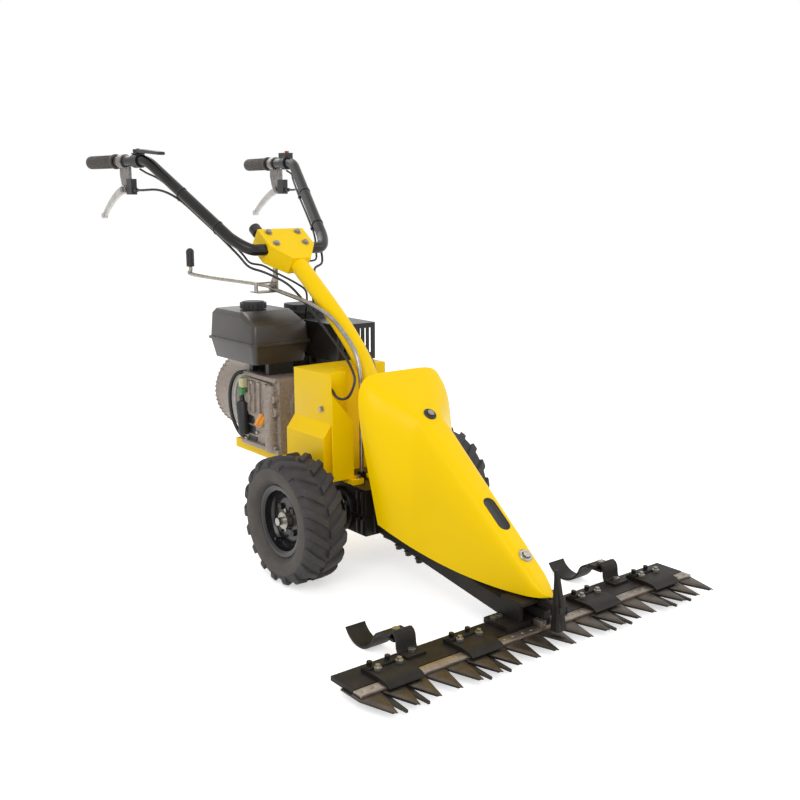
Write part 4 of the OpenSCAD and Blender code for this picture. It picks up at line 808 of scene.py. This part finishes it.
def on_side(side, point):
    """A place or direction of the left arm, on either side."""
    x, y, z = point
    return Vector((side * x, y, z))


def cable_ties(name, side):
    """Clips that hold the cables to the tube."""
    bm = bmesh.new()
    for u, held in TIES:
        bands = [(0, 0, *TUBE_BAND)] + [(*place, *CABLE_BAND) for place in held]
        for inward, below, inner, wall in bands:
            band = [(inner, -BAND_HALF), (inner + wall, -BAND_HALF), (inner + wall, BAND_HALF),
                    (inner, BAND_HALF)]
            at = on_side(side, by_arm(u, inward, below))
            lathe(bm, band + band[:1], on_side(side, RISE), from_head(*at), 36)
    piece(name + "_cable_ties", bm, "sheath", "handlebar_tube")


def arm_grip(ribs, name, side):
    """A moulded grip with a flange, long ribs and a domed end."""
    axis, end = on_side(side, LEVEL), from_head(*on_side(side, ARM_END))
    bore, skin, flange = TUBE_RADIUS + 0.2, GRIP_RADIUS - 1.2, GRIP_RADIUS + 2.5
    inner = ((bore, 0), (flange - 1.5, 0), (flange, 1.5), (flange, 7), (flange - 1.5, 9),
             (skin + 0.4, 12), (skin, 16))
    outer = ((skin, -12), (GRIP_RADIUS, -8), (GRIP_RADIUS, -1), (GRIP_RADIUS - 1.5, 2),
             (GRIP_RADIUS - 5, 3.6), (0, 4))
    bm, rib = bmesh.new(), bmesh.new()
    lathe(bm, [(r, along - GRIP_LENGTH) for r, along in inner] + list(outer), axis, end, 56)
    slab(rib, at_origin, (GRIP_RADIUS - 2.4, -1.05, 18 - GRIP_LENGTH), (GRIP_RADIUS, 1.05, -13), 0.5, 2)
    repeat(bm, rib, "grip", ribs, facing(end, axis), turn=(0, 0, 2 * math.pi / ribs))
    stand_in(name + "_grip", bm, "grip", "grip_" + name)


class MOWER_OT_handlebar(Operator):
    """Bent handlebar tube, grips, levers, throttle and stop switch"""

    bl_idname = "mower.handlebar"
    bl_label = "Handlebar and controls"

    def execute(self, context):
        left = arm_path()
        right = [on_side(-1, point) for point in reversed(left)]
        bm = bmesh.new()
        tube(bm, [from_head(*p) for p in right + left], TUBE_RADIUS, 32)
        stand_in("handlebar", bm, "black", "handlebar_tube")
        for name, side in SIDES.items():
            arm_grip(context.scene.mower.grip_ribs, name, side)
            low, high = (from_head(side * LEVER_X + x, y, z) for x, y, z in LEVER_BLOCK)
            bracket = dress("lever_bracket_" + name, "bracket", 1)
            repaint(bracket, "nylon", lambda at: all(low[k] <= at[k] <= high[k] for k in range(3)))
            dress("clutch_lever_" + name, "lever", 2.2)
            cable_ties(name, side)
        dress_all(("throttle_base", "nylon", 1), ("throttle_lever", "nylon", 2), ("stop_switch", "nylon", 2),
                  ("stop_button", "red", 1))
        return {"FINISHED"}


# Cables and gear shift: upper routes from the clamp, for the left side, and lower ones from the axle

CLUTCH_CABLE = [
    (263.86, 403.6, 163), (262.86, 372, 163), by_arm(0.78, -8, 44), by_arm(0.6, -2, 24), by_arm(0.35, 0, 22),
    by_arm(0.12, 0, 22), (140, 36, -14), (122, 8, -46), (84, -10, -62)]
HAND_WIRE = [
    (254, 398, 223.8), (250, 362, 212), by_arm(0.85, 6, 26), by_arm(0.6, 12, 20), by_arm(0.35, 12, 18),
    by_arm(0.12, 14, 18), (124, 40, -12), (110, 22, -36), (74, 14, -45)]
RIGHT_CLUTCH = [
    (-50, 330, 568), (-34, 290, 540), (-30, 220, 492), (-30, 130, 432), (-33, 60, 388), (-46, 6, 354),
    (-70, -32, 334), (-96, -46, 308), (-114, -42, 300), (-122, -26, 304), (-118, -6, 314), (-112, 12.6, 318)]
LEFT_CLUTCH = [
    (54, 308, 552), (41, 240, 524), (37, 140, 456), (37, 50, 392), (38, 8, 320), (42, -10, 220),
    (44, -14, 140), (44, -14, 73.3)]
THROTTLE = [
    (-50, 368, 590), (-6, 332, 560), (16, 318, 538), (26, 330, 498), (38, 354, 466), (50, 372, 447),
    (54, 384.4, 441)]
STOP_WIRE = [(63, 372, 560), (74, 366, 490), (70, 367, 420), (62, 368, 350), (60, 368, 305.3)]
CABLES = (
    ("right_clutch_cable", -1, CLUTCH_CABLE, RIGHT_CLUTCH, 3.5),
    ("left_clutch_cable", 1, CLUTCH_CABLE, LEFT_CLUTCH, 3.5),
    ("throttle_cable", -1, HAND_WIRE, THROTTLE, 3.0),
    ("stop_wire", 1, HAND_WIRE, STOP_WIRE, 3.0))
SHIFT_ROUTE = [
    (-40, -20, 76), (-40, -20, 101), (-40, -20, 143), (-40, -20, 250), (-39, -19, 310), (-37, -10, 360),
    (-34.5, 14, 408), (-33.5, 66, 452), (-34.5, 132, 490), (-39, 224, 517), (-48, 328, 535), (-57, 385, 546),
    (-63, 430, 553), (-118, 726, 564), (-120, 748, 580), (-120, 750, 622)]
SHIFT_RADIUS = 5.9
GATE_WEB = ((370, 534), (416, 534), (416, 548), (398, 574), (376, 584), (370, 580))


def crossing_cable(name, bm):
    """A cable laid along the frame below the handlebar's clamp and along the handlebar above it, shown in
    place of the solid cables.
    """
    cable = skinned(name, bm, "sheath")
    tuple(from_head(0, -60, -90))
    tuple(from_head(0, 10, -30))
    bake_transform(cable)
    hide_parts("handle_cables", "frame_cables")


class MOWER_OT_cables(Operator):
    """Control cables laid along the handlebar and frame, and the gear shift rod"""

    bl_idname = "mower.cables"
    bl_label = "Cables and gear shift"

    def execute(self, context):
        for name, side, upper, lower, radius in CABLES:
            points = [from_head(*on_side(side, p)) for p in upper] + [from_axle(*p) for p in lower]
            bm = bmesh.new()
            tube(bm, smooth_path(points, 6), radius, 12)
            crossing_cable(name, bm)
        bm = bmesh.new()
        tube(bm, smooth_path([from_axle(*p) for p in SHIFT_ROUTE], 6), SHIFT_RADIUS, 16)
        stand_in("gear_rod", bm, "zinc", "shift_rod")
        dress_all(("shift_knob", "nylon", 1.5), ("gate_bracket", "zinc"))
        bm = bmesh.new()
        slab(bm, from_axle, (-108, 370, 534), (-40, 416, 537.6), 1, 2)
        plate(bm, from_axle, GATE_WEB, -45.6, 4)
        piece("gate_plate", bm, "zinc", "gate_bracket", edge=1, sharp=30)
        return {"FINISHED"}


# Engine

TANK_FEET = 307
SIDE_COVER = ((298, 122), (296, 262), (318, 286), (436, 290), (458, 268), (458, 206), (436, 182), (404, 176),
              (392, 122))
# Bosses on the side cover: place along and up, radius, and how far they stand out
BOSSES = ((290, 208, 13, 15), (289, 246, 11, 19), (432, 230, 16, 16), (346, 226, 9, 15))
BULGE = [(-106, 312, 96), (-110, 312, 108), (-112, 312, 130), (-112, 313, 180), (-111, 315, 232),
         (-108, 318, 262), (-104, 320, 276)]
FLOAT_BOWL = ((0, 0), (14, 0), (17, 3), (17, 13), (15, 15), (0, 15))
# Rows of bolts down the side cover: first bolt along and up, number, and step
COVER_BOLTS = ((446, 278, 4, 38), (384, 134, 2, 68), (450, 214, 2, 150))
FIN = ((604, 116), (607, 120), (624, 120), (637, 108), (658, 88), (655, 85), (631, 102), (618, 114))
FIN_WIDE = 4
LINES = (
    ("fuel_hose", "hose", 4.5, (
        (-106, 436, 298), (-122, 452, 292), (-130, 470, 266), (-133, 477, 222), (-130, 473, 170),
        (-122, 462, 128), (-106, 448, 112))),
    ("engine_loom", "sheath", 5.5, (
        (-106, 450, 302), (-128, 470, 296), (-139, 486, 264), (-142, 491, 218), (-138, 485, 164),
        (-124, 470, 118), (-104, 454, 103))),
    ("plug_lead", "sheath", 3.5, (
        (216, 375, 280), (234, 376, 283), (243, 390, 294), (236, 424, 316), (196, 466, 328),
        (134, 496, 312), (98, 506, 290))))
PLUG_CAP = ((0, 20), (6, 20), (8, 17), (8, 8), (11, 6), (11, -4), (0, -4))
COIL = ((0, 0), (13, 0), (16, 3), (16, 92), (13, 98), (8, 100), (8, 112), (0, 112))
CONNECTORS = (("pale_connector", "pale", (-131, 437, 258), (-113, 459, 286)),
              ("green_connector", "green", (-133, 440, 236), (-115, 461, 256)))


def crankcase():
    """Cast covers, bosses and foot on the crankcase."""
    bm = bmesh.new()
    plate(bm, from_axle, SIDE_COVER, -103, -10)
    slab(bm, from_axle, (-117, 282, 292), (-58, 474, 306), 4)
    slab(bm, from_axle, (-117, 270, 88), (-96, 476, 101), 3)
    for y, z, radius, reach in BOSSES:
        rim, floor = radius - 2.5, reach - 3
        boss = ((radius, -2), (radius, reach - 2), (rim, reach), (rim - 2, reach), (rim - 3, floor),
                (0, floor))
        lathe(bm, boss, (-1, 0, 0), from_axle(-104, y, z), 28)
    tube(bm, smooth_path([from_axle(*p) for p in BULGE], 5), 19, 28)
    for y in (336, 366, 396, 424):
        slab(bm, from_axle, (-119, y - 2, 190), (-108, y + 2, 282), 1.5, 2)
    piece("crankcase_covers", bm, "casting", "engine_block", edge=2)


def carburettor():
    """Carburettor with its float bowl between intake pipe and cylinder, and a black plate on the crankcase's
    side that is painted shade behind the coil.
    """
    bm = bmesh.new()
    slab(bm, from_axle, (34, 378, 319), (88, 412, 348), 4)
    lathe(bm, FLOAT_BOWL, (0, 0, 1), from_axle(58, 395, 305.4), 36)
    tube(bm, [from_axle(62, 408, 334), from_axle(62, 417, 334)], 13, 28)
    piece("carburettor", bm, "dark steel", "engine_block", edge=0.8)
    # Painted shade: a thin black plate on the crankcase's side stands for the shadow behind the coil and
    # below the tank
    bm = bmesh.new()
    slab(bm, from_axle, (-108, 402, 103), (-104, 468, 174), 1.5)
    piece("side_plate", bm, "nylon", "engine_block")


def side_bolts():
    """Bolts round the side cover and through the engine's foot."""
    bm = bmesh.new()
    for y, z, count, step in COVER_BOLTS:
        seat = facing(from_axle(-113, y, z), (-1, 0, 0))
        repeat(bm, bolt_head(5.5, 6.5, 7), "zinc", count, seat, step=(step * MM, 0, 0))
    repeat(bm, bolt_head(8, 9, 11), "zinc", 2, from_axle(-109, 294, 100.5), step=(0, 160 * MM, 0))
    piece("crankcase_bolts", bm, "zinc", "frame_bolts", sharp=30)


def recoil_vents(count):
    """Comb of fins round the recoil cover."""
    fin = bmesh.new()
    plate(fin, at_origin, FIN, -FIN_WIDE / 2, FIN_WIDE)
    bm = bmesh.new()
    repeat(bm, fin, "casting", count, from_axle(0, 0, 220), turn=(0, 2 * math.pi / count, 0))
    piece("recoil_vents", bm, "casting", "recoil_cover", sharp=30)


def engine_lines():
    """Fuel hose, wiring, ignition coil and plug lead."""
    for name, look, radius, route in LINES:
        bm = bmesh.new()
        tube(bm, smooth_path([from_axle(*p) for p in route], 8), radius, 16)
        piece(name, bm, look, "engine_block")
    bm = bmesh.new()
    lathe(bm, PLUG_CAP, (1, 0, 0), from_axle(218, 375, 280), 28)
    lathe(bm, COIL, (0, 0.06, 1), from_axle(-120, 452, 118), 36)
    piece("coil_and_plug_cap", bm, "nylon", "engine_block")
    for name, look, low, high in CONNECTORS:
        bm = bmesh.new()
        slab(bm, from_axle, low, high, 2.5)
        slab(bm, from_axle, (low[0] - 2, low[1] + 5, low[2] + 6),
             (high[0] - 8, high[1] - 5, high[2] - 6), 1.2)
        piece(name, bm, look, "engine_block")


class MOWER_OT_engine(Operator):
    """Petrol engine with tank, recoil starter, air cleaner and muffler"""

    bl_idname = "mower.engine"
    bl_label = "Engine"

    def execute(self, context):
        block = dress("engine_block", "casting", 2.5)
        repaint(block, "nylon", lambda at: at.z > from_axle(0, 0, TANK_FEET).z)
        dress_all(
            ("cylinder_head", "casting", 0.7), ("blower_housing", "casting", 1.5),
            ("recoil_cover", "casting", 1), ("recoil_handle", "nylon", 1.5), ("fuel_tank", "enamel", 2.5),
            ("fuel_cap", "nylon", 1.5), ("oil_dipstick", "orange", 1), ("air_cleaner", "nylon", 2.5),
            ("muffler", "black", 1), ("engine_shaft", "bright steel"))
        crankcase()
        carburettor()
        side_bolts()
        recoil_vents(context.scene.mower.vent_count)
        engine_lines()
        return {"FINISHED"}


# Knife bar

TOOTH_PITCH, TOOTH_COUNT, TOOTH_GAP, TOOTH_TIP = 54.7, 19, 0.8, 1.5
FIRST_TOOTH = -(TOOTH_COUNT - 1) / 2 * TOOTH_PITCH
GRIND, GROUND_TIP, CUT_EDGE = 7.5, 0.8, 1.0
KNIFE_Y, SECTION_LENGTH, KNIFE_BACK = 637.5, 110, 26.5
KNIFE_LOW, SECTION_T, STRIP_T = 24.3, 3, 6
RIVET_OFFSET = 13
PIN_REACH, BORE_ROOM = 10.6, 0.3
CLIP = ((-580, 34), (-580, 41), (-582, 43.4), (-585, 44), (-612, 44), (-640, 44), (-650, 43.4), (-659, 42),
        (-666, 39.8), (-671.5, 37), (-675, 34), (-676, 31.2), (-673.6, 30.4), (-671.4, 32.2), (-668, 34))
CLIP_HALF, CLIP_TEETH, CLIP_STEP, STUDS = 46, (-7.5, 3.5), 4, (-34, 12)
SKID_X, SKID_HALF, SKID_SHEET = 325, 26, 6
STRAP_Z, STRAP_BACK, STRAP_FROM = 59, -554, -510
STRAP_BEND, STRAP_TURN, BEND_R, CURL_R, CURL_LOW = math.radians(70), math.radians(130), 28, 57.1, 3
HUMP = ((-600, 37), (-572, 37), (-566.5, 39.5), (-563.5, 46), (-562.5, 56), (-561, 66), (-557, 73),
        (-550, 77), (-544, 75), (-541, 70), (-537, 66), (-530, 65), (-512, 65))


def rocker_arm():
    """The arm that drives the knife, its bore opened a little so that it turns freely on its pin."""
    arm = dress("rocker_arm", "dark steel", 1)
    pin = Vector(JOINTS["rocker_swing"]["pos_m"])
    for vertex in arm.data.vertices:
        out = (vertex.co - pin).xy
        if out.length < PIN_REACH * MM:
            vertex.co += Vector((*out.normalized(), 0)) * BORE_ROOM * MM


def hold_down_clips():
    """Hold-down clips with a rolled nose over the knife, and the black studs behind their bolts."""
    bm, studs = bmesh.new(), bmesh.new()
    step = (CLIP_STEP * TOOTH_PITCH * MM, 0, 0)
    for tooth in CLIP_TEETH:
        shape = bmesh.new()
        plate(shape, at_origin, CLIP, -CLIP_HALF, 2 * CLIP_HALF)
        slab(shape, at_origin, (-44, -606, 43), (44, -586, 48), 1.5, 2)
        place = from_ground(tooth * TOOTH_PITCH, 0, 0)
        repeat(bm, shape, "bar", 2, place, step=step)
        for x in STUDS:
            repeat(studs, bolt_head(6.5, 11, 8), "black", 2, place + at_origin(x, -594, 47.5), step=step)
    stand_in("hold_down_clips", bm, "bar", "knife_clips", 0.9, 30)
    piece("clip_studs", studs, "black", "bar_bolts", sharp=30)


def skid_straps():
    """Curled straps on humped brackets that keep the bar off the ground."""
    curl_y = STRAP_FROM + (BEND_R + CURL_R) * math.sin(STRAP_BEND)
    strap = [(STRAP_BACK, STRAP_Z), (STRAP_FROM, STRAP_Z)]
    for a in [STRAP_BEND * k / 12 for k in range(1, 13)]:
        strap.append((STRAP_FROM + BEND_R * math.sin(a), STRAP_Z - BEND_R * (1 - math.cos(a))))
    for a in [-STRAP_BEND + STRAP_TURN * k / 24 for k in range(1, 25)]:
        strap.append((curl_y + CURL_R * math.sin(a), CURL_R + CURL_LOW - CURL_R * math.cos(a)))
    bm = bmesh.new()
    for side in SIDES.values():
        for mid in (strap, HUMP):
            section = sheet_section(mid, SKID_SHEET)[:-1]
            plate(bm, from_ground, section, side * SKID_X - SKID_HALF, 2 * SKID_HALF)
    stand_in("skid_straps", bm, "bar", "skids", 0.8, 30)


def divider_blade():
    """A tapering blade that stands over the nose, on its plate and post."""
    rings = []
    for t in [k / 12 for k in range(13)]:
        half = 5 + 12 * (1 - t) ** 1.5
        front, back = -707.5 + 20.2 * t, -681.5 + 2 * t
        edge = min(half, (back - front) / 2) * 0.35
        corners = ((-half, front + edge), (edge - half, front), (half - edge, front),
                   (half, front + edge), (half, back - edge), (half - edge, back),
                   (edge - half, back), (-half, back - edge))
        rings.append([from_ground(x, y, 38 + 134.4 * t) for x, y in corners])
    bm = bmesh.new()
    loft(bm, rings, caps=True)
    piece("divider_blade", bm, "bar", "centre_divider")


def knife_sections():
    """Triangular sections with ground cutting edges."""
    half = (TOOTH_PITCH - TOOTH_GAP) / 2
    back, base, front = -KNIFE_Y, -KNIFE_Y - KNIFE_BACK, -KNIFE_Y - SECTION_LENGTH
    rear = [(half, base + 6), (half, back)]
    edge = [(TOOTH_TIP, front), (half, base)] + rear
    ground = [(GROUND_TIP, front + 3 * GRIND), (half - GRIND, base)] + rear
    rings = []
    for left, z in ((edge, 0), (edge, CUT_EDGE), (ground, SECTION_T)):
        outline = [(-x, y) for x, y in reversed(left)] + left
        rings.append([at_origin(x, y, KNIFE_LOW + z) for x, y in outline])
    shape, bm = bmesh.new(), bmesh.new()
    loft(shape, rings, caps=True)
    first = from_ground(FIRST_TOOTH, 0, 0)
    repeat(bm, shape, "knife", TOOTH_COUNT, first, step=(TOOTH_PITCH * MM, 0, 0))
    piece("knife_sections", bm, "knife", "knife", sharp=20)


def knife_back(rivet_r):
    """Flat bar along the sections, with two rivets on each and the head that the rocker drives."""
    low = KNIFE_LOW + SECTION_T
    top = low + STRIP_T
    half = TOOTH_COUNT * TOOTH_PITCH / 2 - 4
    back, front = -KNIFE_Y, -KNIFE_Y - KNIFE_BACK
    bm = bmesh.new()
    slab(bm, from_ground, (-half, front, low), (half, back, top), 0.7, 2)
    slab(bm, from_ground, (-22, front, top - 1), (22, back, top + 4), 1, 2)
    for side in SIDES.values():
        x0, x1 = sorted((side * 9.3, side * 22))
        slab(bm, from_ground, (x0, front - 2, top), (x1, back, top + 18), 1.2, 2)
    dome = ((rivet_r, -0.3), (rivet_r, 0.5), (rivet_r * 0.8, 1.3), (rivet_r * 0.45, 1.8), (0, 2))
    for offset in (-RIVET_OFFSET, RIVET_OFFSET):
        rivet = bmesh.new()
        lathe(rivet, dome, (0, 0, 1), Vector(), 14)
        first = from_ground(offset + FIRST_TOOTH, (back + front) / 2, top)
        repeat(bm, rivet, "knife back", TOOTH_COUNT, first, step=(TOOTH_PITCH * MM, 0, 0))
    stand_in("knife_strip", bm, "knife back", "knife", sharp=35)


class MOWER_OT_knife_bar(Operator):
    """Back bar, finger plates, knife with riveted sections, clips, skids and divider"""

    bl_idname = "mower.knife_bar"
    bl_label = "Knife bar"

    def execute(self, context):
        knife_sections()
        knife_back(context.scene.mower.rivet_radius / MM)
        hold_down_clips()
        dress("centre_divider", "bar", 1)
        divider_blade()
        dress_all(("cutter_bar", "bar"), ("finger_plates", "dark steel", 0.5), ("bar_bolts", "zinc", 0.6))
        skid_straps()
        dress_all(("bar_carrier", "bar", 1), ("neck_beams", "bar", 1))
        rocker_arm()
        return {"FINISHED"}


# Stage

CAMERA_PLACE = (-1.6005, -2.3221, 0.9932)
CAMERA_AZIMUTH, CAMERA_PITCH = math.radians(-38.326), math.radians(11.612)
CAMERA_LENS, SENSOR = 46.787, 36
# Soft lamps: place, share of the main lamp's power, and size
LAMPS = (("key lamp", (-2.6, -3.0, 3.4), 1, 2.6), ("fill lamp", (3.2, -2.2, 2.4), 0.45, 2.6),
         ("back lamp", (0.4, 3.2, 3.0), 0.5, 2.4))
LAMP_TARGET = Vector((0, -0.1, 0.4))
FLOOR_HALF, FLOOR_Z, FLOOR_GLOW, SKY_LIGHT = 12, -0.0005, 0.55, 0.62


def seen_level(tree, lighting, seen):
    """One strength for light on the object, and another for what the camera, a mirror or glass sees."""
    ray = add(tree, "ShaderNodeLightPath").outputs
    mirror = add(tree, "ShaderNodeMath", {0: ray["Is Glossy Ray"], 1: ray["Is Transmission Ray"]},
                 operation="MAXIMUM")
    both = add(tree, "ShaderNodeMath", {0: ray["Is Camera Ray"], 1: mirror.outputs[0]}, operation="MAXIMUM")
    return add(tree, "ShaderNodeMapRange", {
        "Value": both.outputs[0], "To Min": lighting, "To Max": seen}).outputs[0]


def aimed(name, data, place, ahead):
    """A lamp or camera at a place, looking along a direction."""
    made = placed(name, data)
    made.location = place
    made.rotation_euler = ahead.to_track_quat("-Z", "Y").to_euler()
    return made


def set_camera(scene):
    """The photograph's viewing angle."""
    level = math.cos(CAMERA_PITCH)
    data = bpy.data.cameras.new("camera")
    data.sensor_width = SENSOR
    data.lens = CAMERA_LENS
    scene.camera = aimed("camera", data, CAMERA_PLACE, Vector((
        -math.sin(CAMERA_AZIMUTH) * level, math.cos(CAMERA_AZIMUTH) * level, -math.sin(CAMERA_PITCH))))


def set_floor(scene):
    """A plain floor that takes the mower's shadow."""
    bm = bmesh.new()
    bmesh.ops.create_grid(bm, x_segments=1, y_segments=1, size=FLOOR_HALF)
    floor = meshed("floor", bm)
    floor.location.z = FLOOR_Z
    # Matt paper: white where light falls on it, and grey where the mower shades it
    paper = bpy.data.materials.new("Matt paper")
    tree = bare_tree(paper)
    skin = add(tree, "ShaderNodeBsdfPrincipled", {
        "Base Color": scene.mower.floor_colour, "Roughness": 0.95, "Specular IOR Level": 0.0})
    glow = add(tree, "ShaderNodeEmission", {
        "Color": linear("#ffffff"), "Strength": seen_level(tree, 0.0, FLOOR_GLOW)})
    both = add(tree, "ShaderNodeAddShader", {0: skin.outputs[0], 1: glow.outputs[0]})
    add(tree, "ShaderNodeOutputMaterial", {"Surface": both.outputs[0]})
    floor.data.materials.append(paper)


def set_world(scene):
    """Even light, and plain white where the camera or a reflection sees past the floor."""
    scene.world = bpy.data.worlds.new("studio")
    tree = bare_tree(scene.world)
    sky = add(tree, "ShaderNodeBackground", {
        "Color": linear("#ffffff"), "Strength": seen_level(tree, SKY_LIGHT, 1.0)})
    add(tree, "ShaderNodeOutputWorld", {"Surface": sky.outputs[0]})


class MOWER_OT_stage(Operator):
    """Pale floor, soft lamps and the camera"""

    bl_idname = "mower.stage"
    bl_label = "Stage"

    def execute(self, context):
        scene = context.scene
        scene.view_settings.view_transform = "Standard"
        set_camera(scene)
        set_floor(scene)
        set_world(scene)
        for name, place, share, size in LAMPS:
            data = bpy.data.lights.new(name, "AREA")
            data.energy = scene.mower.lamp_power * share
            data.size = size
            aimed(name, data, place, LAMP_TARGET - Vector(place))
        return {"FINISHED"}


# Sidebar and registration

OPERATORS = (
    MOWER_OT_stage, MOWER_OT_cables, MOWER_OT_front_cover, MOWER_OT_wheels, MOWER_OT_chassis,
    MOWER_OT_handlebar, MOWER_OT_engine, MOWER_OT_knife_bar,
)


class MOWER_PT_sidebar(Panel):
    """Pieces of the mower and their settings"""

    bl_idname = "MOWER_PT_sidebar"
    bl_label = "Sickle bar mower"
    bl_space_type = "VIEW_3D"
    bl_region_type = "UI"
    bl_category = "Mower"

    def draw(self, context):
        for name in MowerSettings.__annotations__:
            self.layout.prop(context.scene.mower, name)
        for operator in OPERATORS:
            self.layout.operator(operator.bl_idname)


CLASSES = (MowerSettings, *OPERATORS, MOWER_PT_sidebar)


def register():
    for item in CLASSES:
        bpy.utils.register_class(item)
    bpy.types.Scene.mower = PointerProperty(type=MowerSettings)


def unregister():
    del bpy.types.Scene.mower
    for item in reversed(CLASSES):
        bpy.utils.unregister_class(item)


def main():
    register()
    for operator in OPERATORS:
        group, name = operator.bl_idname.split(".")
        getattr(getattr(bpy.ops, group), name)()
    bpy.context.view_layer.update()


if __name__ == "__main__":
    main()
